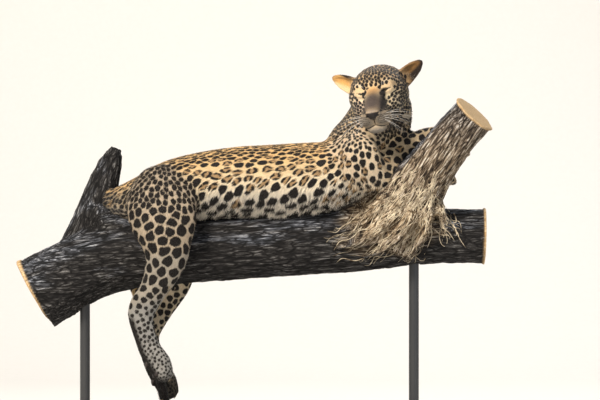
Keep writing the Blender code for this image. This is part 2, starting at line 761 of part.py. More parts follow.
def part_flesh(whole):
    """Parts the skin into the leopard's named pieces."""
    near_leg = leg_rows(-1, 0, 0)
    far_leg = leg_rows(1, FAR_LEG_DROP, FAR_LEG_FORWARD)
    tail_rows = [(*row, row[3]) for row in TAIL]
    near_hind = take(whole, *limb_cutters(near_leg, ACROSS_BODY), "hind_right")
    far_hind = take(whole, *limb_cutters(far_leg, ACROSS_BODY), "hind_left")
    near_fore = take(whole, *limb_cutters(NEAR_FORELEG, ACROSS_BODY), "fore_right")
    far_fore = take(whole, *limb_cutters(FAR_FORELEG, ACROSS_BODY), "fore_left")
    tail = take(whole, *limb_cutters(tail_rows, ACROSS_TAIL), "tail")
    behind_jaw = Matrix.Translation(HEAD_CUT_AT) @ Euler((HEAD_CUT_TILT, 0, 0)).to_matrix().to_4x4()
    head = take_end(whole, head_place() @ behind_jaw, HEAD_CUT_SIZE, "head")
    above_shoulders = NECK_CUT_FACES.to_track_quat("Z", "Y").to_matrix().to_4x4()
    neck = take_end(whole, Matrix.Translation(NECK_CUT_AT) @ above_shoulders, NECK_CUT_SIZE, "neck")
    pieces = [keep_largest(whole, "torso"), neck]
    pieces += part_hind_leg(near_hind, near_leg, "right", 0)
    pieces += part_hind_leg(far_hind, far_leg, "left", FAR_LEG_DROP)
    pieces += part_foreleg(near_fore, NEAR_FORELEG, "right", NEAR_WRIST_ROW)
    pieces += part_foreleg(far_fore, FAR_FORELEG, "left", FAR_WRIST_ROW)
    pieces += part_tail(tail)
    ears = [make_ear("ear_left", 1, (head, neck)), make_ear("ear_right", -1, (head, neck))]
    return [*pieces, *ears, cut_face(head)]


def finish(pieces, look):
    """Gives the pieces their material and shades them smooth."""
    for piece in pieces:
        piece.data.materials.clear()
        piece.data.materials.append(look)
        piece.data.shade_smooth()
        piece.data.set_sharp_from_angle(angle=SHARP_ANGLE)


def build():
    for old in list(bpy.data.objects):
        bpy.data.objects.remove(old)
    flesh = cut(
        skin(),
        wood(BRANCH, GAP, "cutter", BRANCH_SIDES),
        fork_wood(GAP, "cutter"),
        wood(STUB, GAP, "cutter", STUB_SIDES),
    )
    finish(part_flesh(flesh), material("leopard fur", (0.62, 0.40, 0.18), 0.80))
    finish(make_eyes(), material("amber eye", (0.35, 0.28, 0.06), 0.10))
    finish(make_perch(), material("grey bark", (0.22, 0.18, 0.15), 0.90))
    finish([make_base(), *make_rods()], material("dark painted steel", (0.03, 0.03, 0.03), 0.45))


build()
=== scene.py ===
"""The looks of a life-size leopard model that rests astride a cut branch on a plain display stand."""

import math

import bmesh
import bpy
import numpy as np
from mathutils import Euler, Matrix, Vector, noise
from mathutils.bvhtree import BVHTree
from mathutils.kdtree import KDTree


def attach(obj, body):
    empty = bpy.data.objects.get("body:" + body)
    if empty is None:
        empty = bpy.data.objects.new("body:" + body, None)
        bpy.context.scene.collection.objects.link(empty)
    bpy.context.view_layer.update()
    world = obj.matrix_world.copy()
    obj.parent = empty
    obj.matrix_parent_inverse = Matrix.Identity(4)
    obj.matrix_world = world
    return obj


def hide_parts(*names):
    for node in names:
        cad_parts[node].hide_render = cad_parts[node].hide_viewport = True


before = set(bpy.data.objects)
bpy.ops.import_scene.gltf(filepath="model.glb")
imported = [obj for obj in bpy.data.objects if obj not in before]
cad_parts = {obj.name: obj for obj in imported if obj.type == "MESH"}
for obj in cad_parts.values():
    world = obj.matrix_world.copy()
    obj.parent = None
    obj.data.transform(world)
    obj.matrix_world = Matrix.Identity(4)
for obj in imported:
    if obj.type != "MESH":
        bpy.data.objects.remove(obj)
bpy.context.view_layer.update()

# The leopard's skin: one surface over the whole animal, a coat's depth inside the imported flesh. The pieces of
# flesh are fused at a voxel size that is finest on the face, because space is stretched round the face before
# they are fused and springs back afterwards.
SKIN_VOXEL = 0.0079
FACE_STRETCH = 4.5
FACE_STRETCH_REACH = (0.078, 0.120)
SEAM_BRIDGE = 0.0003
HEAD_AT = Vector((0.3085, -0.050, 0.908))
HEAD_TURN = (
    Euler((0, 0, math.radians(-11.3))).to_matrix()
    @ Euler((math.radians(8), 0, 0)).to_matrix()
    @ Euler((0, math.radians(-10), 0)).to_matrix()
)
FACE_MIDDLE = HEAD_AT + HEAD_TURN @ Vector((0, -0.075, -0.020))
FLESH = [n for n in sorted(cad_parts) if n.startswith(("torso", "neck", "head", "ear", "fore", "hind", "tail"))]
EYE_AT = np.array((0.0350, -0.0575, 0.0095))
EYE_RADIUS = 0.0155
NOSE_TIP = np.array((0, -0.155, -0.0440))
EYE_SLIT = (
    (0.0190, -0.0700, 0.0030),
    (0.0270, -0.0740, 0.0065),
    (0.0350, -0.0750, 0.0095),
    (0.0430, -0.0720, 0.0118),
    (0.0515, -0.0655, 0.0134),
)
LID_REACH = 0.0080
LID_CLOSING = 0.0017


def coordinates(mesh):
    flat = np.zeros(3 * len(mesh.vertices), np.float32)
    mesh.vertices.foreach_get("co", flat)
    return flat.reshape(-1, 3).astype(float)


def normals_of(mesh):
    flat = np.zeros(3 * len(mesh.vertices), np.float32)
    mesh.vertex_normals.foreach_get("vector", flat)
    return flat.reshape(-1, 3).astype(float)


def put_coordinates(mesh, points):
    mesh.vertices.foreach_set("co", points.astype(np.float32).ravel())
    mesh.update()


def new_object(name, mesh):
    made = bpy.data.objects.new(name, mesh)
    bpy.context.scene.collection.objects.link(made)
    return made


def made_plain(made):
    """The object with its modifiers made part of its mesh."""
    graph = bpy.context.evaluated_depsgraph_get()
    mesh = bpy.data.meshes.new_from_object(made.evaluated_get(graph))
    made.modifiers.clear()
    made.data = mesh
    return made


def merged_copy(names, grow):
    """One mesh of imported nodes, their loose triangles merged, grown along their normals, and whose each face is."""
    together = bmesh.new()
    owners = []
    for number, name in enumerate(names):
        piece = bmesh.new()
        piece.from_mesh(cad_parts[name].data)
        bmesh.ops.remove_doubles(piece, verts=piece.verts, dist=1e-6)
        piece.normal_update()
        for vert in piece.verts:
            vert.co += grow * vert.normal
        mesh = bpy.data.meshes.new("piece")
        piece.to_mesh(mesh)
        owners += [number] * len(mesh.polygons)
        together.from_mesh(mesh)
        piece.free()
    mesh = bpy.data.meshes.new("flesh")
    together.to_mesh(mesh)
    together.free()
    return mesh, np.array(owners)


def remeshed(made, voxel):
    fuse = made.modifiers.new("fuse", "REMESH")
    fuse.mode = "VOXEL"
    fuse.voxel_size = voxel
    return made_plain(made)


def moved_from_face(points, before, after):
    """The points, moved away from the middle of the face from one distance to another."""
    away = points - np.array(FACE_MIDDLE)
    distance = np.linalg.norm(away, axis=1)
    return np.array(FACE_MIDDLE) + away * (np.interp(distance, before, after) / np.maximum(distance, 1e-9))[:, None]


def into_head(points):
    """Places in the head's own frame: -y forwards, +x the leopard's left."""
    return (points - np.array(HEAD_AT)) @ np.array(HEAD_TURN)


def out_of_head(points):
    return np.array(points) @ np.array(HEAD_TURN).T + np.array(HEAD_AT)


def ramp(values, low, high):
    """0 below low and 1 above high, with a smooth rise between. High may be the smaller of the two."""
    t = np.clip((values - low) / (high - low), 0, 1)
    return t * t * (3 - 2 * t)


def unit(vectors):
    return vectors / np.maximum(np.linalg.norm(vectors, axis=-1, keepdims=True), 1e-12)


flesh_mesh, flesh_owner = merged_copy(FLESH, SEAM_BRIDGE)
flesh_points = coordinates(flesh_mesh)
flesh_tree = BVHTree.FromPolygons(flesh_points.tolist(), [tuple(p.vertices) for p in flesh_mesh.polygons])
plain_distance = np.linspace(0, 2.5, 5001)
near, far = FACE_STRETCH_REACH
stretch = 1 + (FACE_STRETCH - 1) * np.clip((far - plain_distance) / (far - near), 0, 1)
stretched_distance = np.concatenate(([0.0], np.cumsum(0.5 * (stretch[1:] + stretch[:-1]) * np.diff(plain_distance))))
put_coordinates(flesh_mesh, moved_from_face(flesh_points, plain_distance, stretched_distance))
skin = remeshed(new_object("leopard_skin", flesh_mesh), SKIN_VOXEL)
skin_points = moved_from_face(coordinates(skin.data), stretched_distance, plain_distance)
put_coordinates(skin.data, skin_points)


def neighbours_of(mesh):
    """The two ends of each edge, and how many edges meet at each corner."""
    flat = np.zeros(2 * len(mesh.edges), np.int32)
    mesh.edges.foreach_get("vertices", flat)
    start, end = flat.reshape(-1, 2).T
    total = len(mesh.vertices)
    return start, end, np.maximum(np.bincount(start, minlength=total) + np.bincount(end, minlength=total), 1)


skin_edges = neighbours_of(skin.data)


def spread(values, rounds, share=0.5, edges=skin_edges):
    """Values at a mesh's corners, each mixed with those of its neighbours a number of times."""
    start, end, count = edges
    shape = values.shape
    values = values.reshape(len(values), -1).copy()
    share = np.broadcast_to(np.asarray(share, float), (len(values),))
    for _ in range(rounds):
        for column in range(values.shape[1]):
            own = values[:, column]
            total = np.bincount(start, weights=own[end], minlength=len(own))
            total += np.bincount(end, weights=own[start], minlength=len(own))
            values[:, column] = own + share * (total / count - own)
    return values.reshape(shape)


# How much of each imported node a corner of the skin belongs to, with soft borders, and each kind's coat:
# its depth over the skin, the length and width of its tufts in millimetres and their lift in degrees.
COAT = {
    "torso": (5.5, 10.5, 1.9, 15),
    "neck": (5.0, 9.0, 1.8, 17),
    "head": (1.5, 4.4, 1.15, 15),
    "ear": (0.5, 3.4, 0.9, 16),
    "fore_upper": (4.5, 9.0, 1.9, 16),
    "fore_lower": (3.4, 7.5, 1.7, 15),
    "fore_paw": (2.0, 4.6, 1.3, 15),
    "hind_thigh": (4.8, 10.0, 2.0, 16),
    "hind_shin": (3.4, 7.5, 1.7, 15),
    "hind_foot": (2.0, 4.8, 1.3, 14),
    "tail_root": (4.2, 10.0, 1.9, 18),
    "tail_middle": (4.2, 10.0, 1.9, 20),
    "tail_tip": (4.6, 12.0, 2.0, 22),
}
BORDER_ROUNDS = 14


def kind_of(name):
    return name.replace("_left", "").replace("_right", "")


nearest_owner = np.array([flesh_owner[flesh_tree.find_nearest(p)[2]] for p in skin_points.tolist()])
share_of = np.zeros((len(skin_points), len(FLESH)))
share_of[np.arange(len(skin_points)), nearest_owner] = 1
share_of = spread(share_of, BORDER_ROUNDS)
coat_rows = np.array([COAT[kind_of(name)] for name in FLESH])
coat_depth, tuft_length, tuft_width, tuft_lift = (share_of @ coat_rows).T
of_kind = {kind: share_of[:, [kind_of(n) == kind for n in FLESH]].sum(axis=1) for kind in COAT}

in_head = into_head(skin_points)
mirrored = np.abs(in_head) * (1, 0, 0) + in_head * (0, 1, 1)
from_eye = np.linalg.norm(mirrored - EYE_AT, axis=1)
from_nose = np.linalg.norm(in_head - NOSE_TIP, axis=1)
on_head = of_kind["head"] + of_kind["ear"]


def lids_lowered(points):
    """The skin with the edges of each eye's slit drawn together, as the photo's eyes are all but shut."""
    places = into_head(points)
    slit_x, slit_y, slit_z = np.array(EYE_SLIT).T
    across = np.abs(places[:, 0])
    above = places[:, 2] - np.interp(across, slit_x, slit_z)
    reach = ramp(np.abs(above), LID_REACH, 0.0015) * ramp(across, slit_x[0] - 0.001, slit_x[1])
    reach *= ramp(across, slit_x[4] + 0.001, slit_x[3]) * (places[:, 1] < -0.045)
    closing = np.minimum(LID_CLOSING, 0.75 * np.abs(above)) * np.sign(above)
    places[:, 2] -= closing * reach
    return out_of_head(places)


perch_mesh, _ = merged_copy(["perch_branch", "perch_fork", "perch_stub"], 0)
perch_tree = BVHTree.FromPolygons(coordinates(perch_mesh).tolist(), [tuple(p.vertices) for p in perch_mesh.polygons])
off_perch = ramp(np.array([perch_tree.find_nearest(p)[3] for p in skin_points.tolist()]), 0.002, 0.016)
body_softness = 1 - np.clip(on_head + 0.95 * (of_kind["hind_foot"] + of_kind["fore_paw"]), 0, 1)
skin_points = spread(skin_points, 14, 0.55 * body_softness * off_perch)
skin_points = spread(skin_points, 2, 0.35 * on_head * ramp(from_eye, 0.018, 0.03))
put_coordinates(skin.data, skin_points)
skin_points = lids_lowered(skin_points)
put_coordinates(skin.data, skin_points)
skin_normals = unit(spread(normals_of(skin.data), 2))
coat_depth *= 1 - on_head * ramp(from_eye, 0.030, 0.020)
coat_depth *= 1 - on_head * ramp(from_nose, 0.055, 0.020)
coat_depth *= off_perch
skin_points = skin_points - 0.001 * coat_depth[:, None] * skin_normals
put_coordinates(skin.data, skin_points)
skin_normals = unit(spread(normals_of(skin.data), 1))

# The lie of the coat: from the nose back over the head, along the body to the tail, and down each leg.
LIE_OF_COAT = {
    "torso": (-1, 0, -0.22),
    "neck": (-0.55, 0.10, -0.83),
    "fore_upper": (0.10, 0, -1),
    "fore_right_lower": (0.85, 0.18, 0.50),
    "fore_left_lower": (0.88, -0.35, 0.20),
    "fore_right_paw": (0.80, -0.20, -0.55),
    "fore_left_paw": (0.60, -0.70, -0.35),
    "hind_thigh": (0.02, 0, -1),
    "hind_shin": (-0.32, 0, -0.95),
    "hind_foot": (0.25, 0, -0.97),
}
TAIL_LINE = (
    (-0.345, 0.002, 0.638),
    (-0.391, 0.046, 0.610),
    (-0.387, 0.084, 0.565),
    (-0.372, 0.113, 0.500),
    (-0.316, 0.098, 0.370),
    (-0.277, 0.072, 0.230),
    (-0.252, 0.073, 0.110),
    (-0.240, 0.080, 0.070),
    (-0.223, 0.090, 0.054),
    (-0.204, 0.100, 0.063),
)
EAR_LIE = (0.061, 0.004, 0.037)


def tail_lie(points):
    """The direction of the tail's line at the part of it that is nearest."""
    line = np.array(TAIL_LINE)
    middles = 0.5 * (line[1:] + line[:-1])
    gaps = np.linalg.norm(points[:, None] - middles[None], axis=2)
    return unit(line[1:] - line[:-1])[gaps.argmin(axis=1)]


lie = np.zeros_like(skin_points)
for number, name in enumerate(FLESH):
    part = share_of[:, number : number + 1]
    if name.startswith("tail"):
        lie += part * tail_lie(skin_points)
    elif name == "head":
        back = unit(unit(in_head - NOSE_TIP) + (0, 0.25, 0.10))
        lie += part * (back @ np.array(HEAD_TURN).T)
    elif name.startswith("ear"):
        side = 1 if name == "ear_left" else -1
        lie += part * (unit(np.array(EAR_LIE) * (side, 1, 1)) @ np.array(HEAD_TURN).T)
    else:
        lie += part * unit(np.array(LIE_OF_COAT.get(name) or LIE_OF_COAT[kind_of(name)], float))


low_flank = of_kind["torso"] * ramp(skin_normals[:, 2], 0.25, -0.35) * ramp(skin_points[:, 0], -0.24, -0.14)
lie += low_flank[:, None] * unit(np.array((-0.30, 0, -1.0))) * 1.6


def along_skin(directions, normals):
    """Unit directions, laid flat on the skin."""
    return unit(directions - (directions * normals).sum(axis=1, keepdims=True) * normals)


lie = along_skin(spread(along_skin(lie, skin_normals), 6), skin_normals)

# The coat's ground colour, golden on the back, paler down the flanks and cream to white below and inside.
# The hind legs' and the rump's grounds are greyed with painted shade, and the upper forelegs' ground is paled
# with painted light, over their own tan. Its dark markings are laid out further down.
RUMP_GREY_AND_SHADE = "B8A68C"
GROUND = {
    "torso": "EDD3A6",
    "neck": "E9C48A",
    "head": "E0C59C",
    "ear": "E6B870",
    "fore_upper": "F4DFC0",
    "fore_lower": "DCC6A2",
    "fore_paw": "D4C0A0",
    "hind_thigh": "CDBBA2",
    "hind_shin": "BDB3A3",
    "hind_foot": "ACA9A3",
    "tail_root": "9C8A70",
    "tail_middle": "CDAF80",
    "tail_tip": "D8C8AA",
}
BACK_GOLD = "ECC68C"
FLANK_CREAM = "F6E6C8"
BELLY_CREAM = "EFE6D8"
INNER_LEG_CREAM = "E3D2B4"
DARK_MARK = "120B08"
ROSETTE_TAN = "B8976C"
SOLE_BLACK = "1C1613"


def colour(hex_code):
    """An sRGB hex value as linear red, green, blue and alpha."""
    channels = [int(hex_code[i : i + 2], 16) / 255 for i in (0, 2, 4)]
    return (*[c / 12.92 if c <= 0.04045 else ((c + 0.055) / 1.055) ** 2.4 for c in channels], 1.0)


def tinted(base, hex_code, amount):
    amount = np.clip(amount, 0, 1)[:, None]
    return base * (1 - amount) + np.array(colour(hex_code)[:3]) * amount


smooth_normals = unit(spread(skin_normals, 16))
up = smooth_normals[:, 2]
on_torso = of_kind["torso"] + of_kind["tail_root"]
on_back = ramp(up, 0.35, 0.80)
on_low_flank = ramp(up, 0.0, -0.45)
ground = share_of @ np.array([colour(GROUND[kind_of(name)])[:3] for name in FLESH])
ground = tinted(ground, BACK_GOLD, on_torso * on_back)
ground = tinted(ground, FLANK_CREAM, of_kind["torso"] * ramp(up, 0.35, -0.10) * ramp(skin_points[:, 0], -0.30, -0.12))
ground = tinted(ground, BELLY_CREAM, (of_kind["torso"] + of_kind["neck"]) * ramp(up, -0.10, -0.60))
# The rump's sides are greyer: partly their own tone, partly painted shade.
ground = tinted(ground, RUMP_GREY_AND_SHADE, 0.8 * of_kind["torso"] * ramp(skin_points[:, 0], -0.17, -0.27) * (1 - on_back))
legs = sum(of_kind[k] for k in ("hind_thigh", "hind_shin", "hind_foot", "fore_upper", "fore_lower", "fore_paw"))
outward = np.where(skin_points[:, 1] < 0, -1.0, 1.0) * smooth_normals[:, 1]
ground = tinted(ground, INNER_LEG_CREAM, legs * ramp(outward, -0.05, -0.6))
# The chest is cream, and lighter still with painted light.
chest = of_kind["torso"] + of_kind["neck"] + 0.6 * of_kind["fore_upper"]
ground = tinted(ground, FLANK_CREAM, 0.8 * chest * ramp(skin_points[:, 0], 0.24, 0.33) * ramp(skin_points[:, 2], 0.84, 0.76))

# The fur on the back of each hind foot, from the hock to the toes, is black-brown.
sole = of_kind["hind_foot"] * ramp(smooth_normals[:, 0], -0.30, -0.62) * ramp(skin_points[:, 2], 0.345, 0.315)
toes = of_kind["hind_foot"] * ramp(skin_points[:, 2], 0.180, 0.165)
ground = tinted(ground, SOLE_BLACK, np.maximum(sole, 0.85 * toes))

# The face's colours, as soft patches in the head's frame: middle, radii, colour, how much, and whether
# the coat's spots stay off it. Those off the middle are on both sides. Most are the coat's own colours; the dark
# bridge and muzzle sides, the grey whisker pads and chin and the dark lower cheeks are painted shade.
FACE_PATCHES = (
    ((0.030, -0.010, 0.050), (0.060, 0.070, 0.045), "C49C68", 0.5, False),
    ((0.048, -0.064, -0.026), (0.030, 0.045, 0.032), "E6D5B4", 0.7, False),
    ((0.062, 0.000, -0.050), (0.034, 0.060, 0.050), "CDB58E", 0.6, False),
    ((0.000, -0.080, 0.010), (0.017, 0.030, 0.012), "E3B474", 0.9, True),
    # Painted shade: the bridge and the sides of the muzzle, dark grey-brown.
    ((0.000, -0.108, -0.018), (0.026, 0.047, 0.030), "54473F", 1.0, True),
    ((0.019, -0.105, -0.030), (0.012, 0.040, 0.022), "5F5044", 0.9, False),
    ((0.000, -0.148, -0.0340), (0.013, 0.010, 0.004), "94867A", 0.8, True),
    # Painted shade: the whisker pads and chin, greyed over their pale coat.
    ((0.022, -0.130, -0.058), (0.024, 0.034, 0.019), "7F776C", 0.95, True),
    ((0.000, -0.118, -0.088), (0.032, 0.034, 0.016), "8E877D", 1.0, True),
    ((0.000, -0.050, -0.104), (0.050, 0.060, 0.024), "C4B69B", 0.8, False),
    ((0.036, -0.078, -0.008), (0.017, 0.020, 0.006), "E9D9B4", 0.8, False),
    ((0.036, -0.066, 0.0315), (0.011, 0.020, 0.006), "EBD7B4", 0.6, False),
    # Painted shade: the lower cheeks, darkened.
    ((0.050, -0.085, -0.062), (0.014, 0.030, 0.016), "66564A", 0.75, False),
)
NOSE_LEATHER = "201917"
NOSE_TOP = -0.0365
NOSE_BOTTOM = -0.0565
NOSE_HALF = (0.0190, 0.0035)
NOSTRIL_AT = (0.0115, -0.1535, -0.0450)

# Strokes of dark hair on the face: half width in millimetres, then points in the head's frame, on both sides.
FACE_STROKES = (
    (2.4, ((0.0190, -0.0780, -0.0020), (0.0185, -0.0860, -0.0080), (0.0190, -0.0930, -0.0140))),
    (1.8, ((0.0505, -0.0660, 0.0132), (0.0600, -0.0520, 0.0100), (0.0680, -0.0300, 0.0080))),
    (2.1, ((0.0200, -0.0758, 0.0160), (0.0225, -0.0743, 0.0254), (0.0223, -0.0724, 0.0381))),
    (2.0, ((0.0440, -0.0708, -0.0025), (0.0527, -0.0643, 0.0001), (0.0600, -0.0573, 0.0038))),
    (1.5, ((0.000, -0.142, -0.0545), (0.000, -0.134, -0.0690))),
    (1.6, ((0.000, -0.134, -0.0700), (0.011, -0.134, -0.0740), (0.0160, -0.133, -0.0757), (0.0262, -0.124, -0.0766))),
    (1.6, ((0.0262, -0.124, -0.0770), (0.041, -0.110, -0.0770), (0.050, -0.084, -0.0730), (0.057, -0.060, -0.0660))),
    (4.6, ((0.046, -0.092, -0.0700), (0.054, -0.070, -0.0660))),
    (3.0, ((0.058, -0.045, -0.0880), (0.066, -0.020, -0.0920), (0.068, 0.004, -0.0900))),
    (2.2, ((0.060, -0.050, -0.0560), (0.069, -0.020, -0.0600))),
)
LID_LINE = 2.3
INNER_CORNER = ((0.0215, -0.0765, 0.0060), 4.4)
# Rows of dark dots that the whiskers grow from: dot radius and gap in millimetres, then points on both sides.
WHISKER_ROWS = (
    (1.45, 4.2, ((0.0200, -0.1465, -0.0465), (0.0331, -0.1351, -0.0440), (0.0440, -0.1080, -0.0400), (0.0500, -0.080, -0.0370))),
    (1.45, 4.2, ((0.0130, -0.1483, -0.0515), (0.0281, -0.1422, -0.0495), (0.0411, -0.1210, -0.0460), (0.0490, -0.090, -0.0430))),
    (1.45, 4.2, ((0.0130, -0.1449, -0.0560), (0.0300, -0.1426, -0.0550), (0.0431, -0.1232, -0.0515), (0.0500, -0.095, -0.0490))),
    (1.3, 4.0, ((0.0120, -0.1433, -0.0610), (0.0290, -0.1427, -0.0600), (0.0420, -0.1240, -0.0575), (0.0490, -0.098, -0.0550))),
    (1.2, 3.8, ((0.0160, -0.1414, -0.0661), (0.0329, -0.1361, -0.0650), (0.0430, -0.1150, -0.0630))),
)
# Patches that only one side of the face shows. Painted shade darkens round the leopard's left eye and down that
# side of its muzzle, mouth and jaw; a pale patch low on that cheek is its own colour. Painted light gives a pale
# rose cheek and lower cheek on its right.
SIDE_PATCHES = (
    # Painted shade on the leopard's left side of the face.
    ((0.0235, -0.0770, 0.0030), (0.0080, 0.020, 0.0075), "120D0B", 0.95, False),
    ((0.0330, -0.0740, 0.0120), (0.0120, 0.020, 0.0028), "15100D", 0.95, False),
    ((0.0250, -0.1000, -0.0200), (0.0075, 0.030, 0.0260), "3A302A", 0.85, False),
    ((0.0440, -0.0900, -0.0640), (0.0120, 0.026, 0.0110), "2A2320", 0.80, False),
    ((0.0400, -0.0400, -0.0900), (0.0300, 0.040, 0.0200), "7A7065", 0.70, False),
    ((0.0660, -0.0200, -0.0780), (0.0200, 0.032, 0.0130), "C6BAA6", 0.80, True),
    # Painted light on the leopard's right cheek.
    ((-0.0400, -0.0700, -0.0250), (0.0190, 0.030, 0.0210), "F0D6BC", 0.75, False),
    ((-0.0520, -0.0600, -0.0600), (0.0200, 0.040, 0.0200), "B39C92", 0.50, False),
)
skin_tree = BVHTree.FromPolygons(skin_points.tolist(), [tuple(p.vertices) for p in skin.data.polygons])


def within(places, middle, radii):
    """1 well inside a rounded patch and 0 well outside it."""
    return ramp(np.linalg.norm((places - np.array(middle)) / np.array(radii), axis=1), 1.45, 0.55)


spots_kept = 1 - of_kind["ear"]
for places, patches in ((mirrored, FACE_PATCHES), (in_head, SIDE_PATCHES)):
    for middle, radii, tint, amount, clear in patches:
        patch = within(places, middle, radii) * on_head
        ground = tinted(ground, tint, amount * patch)
        spots_kept = spots_kept * (1 - patch) if clear else spots_kept

# Ears: golden in front with a dark upper rim, and black behind. The one that is turned away is darkened with painted
# shade: all over, in its deep cup and at its tip.
facing = smooth_normals @ np.array(HEAD_TURN)
ear_back = of_kind["ear"] * ramp(facing[:, 1], -0.05, 0.35)
ear_height = ((mirrored - (0.060, 0.026, 0.019)) @ unit(np.array((0.061, 0.008, 0.039)))) / 0.073
ear_across = (mirrored - (0.060, 0.026, 0.019)) @ unit(np.array((-0.53, 0, 0.84)))
ground = tinted(ground, "8A5A2C", of_kind["ear"] * ramp(ear_height, 0.55, 1.0) * 0.5)
ground = tinted(ground, "E9D2A6", of_kind["ear"] * ramp(ear_across, -0.003, -0.012) * (in_head[:, 0] < 0))
ground = tinted(ground, "241812", of_kind["ear"] * ramp(ear_across, 0.013, 0.017) * (in_head[:, 0] < 0))
# Painted shade over the ear that is turned away.
shaded_ear = of_kind["ear"] * (in_head[:, 0] > 0)
ground = tinted(ground, "7A5430", shaded_ear * 0.75)
ground = tinted(ground, "2B1E15", shaded_ear * ramp(ear_across, 0.004, -0.006) * ramp(ear_height, 0.05, 0.30))
ground = tinted(ground, "2A1D14", shaded_ear * ramp(ear_height, 0.78, 0.95))
ground = tinted(ground, "19120E", ear_back)

# The nose's bare leather is a wedge, wide above and narrow where the groove below it starts.
fall = np.clip((NOSE_TOP - in_head[:, 2]) / (NOSE_TOP - NOSE_BOTTOM), 0, 1)
half = NOSE_HALF[0] + (NOSE_HALF[1] - NOSE_HALF[0]) * fall**1.3
inside_nose = 1000 * np.minimum.reduce((half - mirrored[:, 0], NOSE_TOP - in_head[:, 2], in_head[:, 2] - NOSE_BOTTOM))
bare = on_head * ramp(inside_nose, -0.9, 0.7) * ramp(in_head[:, 1], -0.126, -0.134)
ground = tinted(ground, NOSE_LEATHER, bare)
# The nostrils are painted near black: painted shade in their openings.
nostril = np.linalg.norm((mirrored - np.array(NOSTRIL_AT)) / (0.0062, 0.012, 0.0034), axis=1)
ground = tinted(ground, "050404", on_head * ramp(nostril, 1.2, 0.8))
spots_kept *= 1 - ramp(from_eye, 0.0210, 0.0180) * on_head


def stroke_line(points, gap=0.001):
    """Points a gap apart along a stroke, each brought onto the skin."""
    placed = []
    for start, end in zip(points, points[1:]):
        count = max(2, round((Vector(end) - Vector(start)).length / gap))
        placed += [Vector(start).lerp(Vector(end), i / count) for i in range(count)]
    placed = out_of_head([tuple(p) for p in [*placed, Vector(points[-1])]])
    return np.array([tuple(skin_tree.find_nearest(p)[0]) for p in placed.tolist()])


stroke_points = []
stroke_widths = []
for side in (1, -1):
    for half_width, points in FACE_STROKES:
        line = stroke_line([(side * x, y, z) for x, y, z in points])
        stroke_points.append(line)
        stroke_widths.append(half_width * (0.4 + 0.6 * np.sin(np.linspace(0.35, math.pi - 0.35, len(line)))))
    for radius, gap, points in WHISKER_ROWS:
        line = stroke_line([(side * x, y, z) for x, y, z in points], 0.001 * gap)
        stroke_points.append(line)
        stroke_widths.append(np.full(len(line), radius))
    slit = np.array([(side * x, y, z) for x, y, z in EYE_SLIT])
    slit = np.concatenate([slit[i] + (slit[i + 1] - slit[i]) * np.linspace(0, 1, 8)[:, None] for i in range(4)])
    stroke_points.append(stroke_line(slit[::4].tolist()))
    stroke_widths.append(LID_LINE * (0.45 + 0.55 * np.sin(np.linspace(1.1, math.pi - 0.1, len(stroke_points[-1])))))
    corner, radius = INNER_CORNER
    stroke_points.append(stroke_line([(side * corner[0], *corner[1:]), (side * (corner[0] + 0.006), corner[1], corner[2] + 0.002)]))
    stroke_widths.append(np.full(len(stroke_points[-1]), radius))
stroke_points = np.concatenate(stroke_points)
stroke_widths = np.concatenate(stroke_widths)

# The markings: short dashes on the back, rosettes round a tan middle on the flanks and rump, blots on the
# legs and low flanks. Each mark fills its own cell of the skin but for a pale gap. For each kind: the spacing in
# millimetres, how much longer than wide the cells are, the share of rosettes, and how far a mark reaches.
SPOTS = {
    "torso": (23.5, 1.28, 0.85, 0.50),
    "neck": (9.0, 1.2, 0.0, 0.62),
    "head": (7.5, 1.12, 0.0, 0.66),
    "ear": (9, 1.0, 0.0, 0.40),
    "fore_upper": (20, 1.05, 0.4, 0.54),
    "fore_lower": (20, 1.0, 0.1, 0.52),
    "fore_paw": (10, 1.0, 0.0, 0.47),
    "hind_thigh": (24.5, 1.0, 0.0, 0.61),
    "hind_shin": (24.0, 1.05, 0.0, 0.57),
    "hind_foot": (12, 1.0, 0.0, 0.46),
    "tail_root": (11, 1.3, 0.0, 0.60),
    "tail_middle": (24, 1.0, 0.0, 0.54),
    "tail_tip": (28, 1.0, 0.0, 0.56),
}
SPOT_SEED = 11
SPOT_TRIES = 18
SPOT_SETTLING = 3
spot_rows = share_of @ np.array([SPOTS[kind_of(name)] for name in FLESH])


def overruled(rows, target, amount):
    amount = np.clip(amount, 0, 1)[:, None]
    return rows * (1 - amount) + np.array(target) * amount


along_body, height = skin_points[:, 0], skin_points[:, 2]
spot_rows = overruled(spot_rows, (13.8, 1.30, 0.2, 0.60), on_torso * on_back)
spot_rows = overruled(spot_rows, (27.5, 1.15, 0.04, 0.52), of_kind["torso"] * on_low_flank)
rump = of_kind["torso"] * ramp(along_body, -0.13, -0.24) * (1 - on_back)
rump += of_kind["hind_thigh"] * ramp(height, 0.575, 0.625)
spot_rows = overruled(spot_rows, (13.4, 1.16, 0.0, 0.64), rump)
spot_rows = overruled(spot_rows, (8.8, 1.08, 0.0, 0.66), of_kind["head"] * ramp(in_head[:, 1], -0.050, -0.015))
chest = (of_kind["torso"] + of_kind["neck"] + of_kind["fore_upper"]) * ramp(along_body, 0.13, 0.20)
spot_rows = overruled(spot_rows, (18, 1.06, 0.35, 0.51), chest * ramp(height, 0.80, 0.74))
front = ramp(along_body, 0.335, 0.300)
spot_rows = overruled(spot_rows, (11.5, 1.1, 0.0, 0.49), chest * ramp(height, 0.735, 0.77) * front)
spot_rows = overruled(spot_rows, (8.0, 1.2, 0.0, 0.49), chest * ramp(height, 0.775, 0.81) * front)
spot_rows = overruled(spot_rows, (17, 1.0, 0.0, 0.50), of_kind["hind_shin"] * ramp(height, 0.43, 0.37))
spot_rows = overruled(spot_rows, (7.8, 1.0, 0.0, 0.46), of_kind["hind_foot"] * ramp(height, 0.32, 0.22))

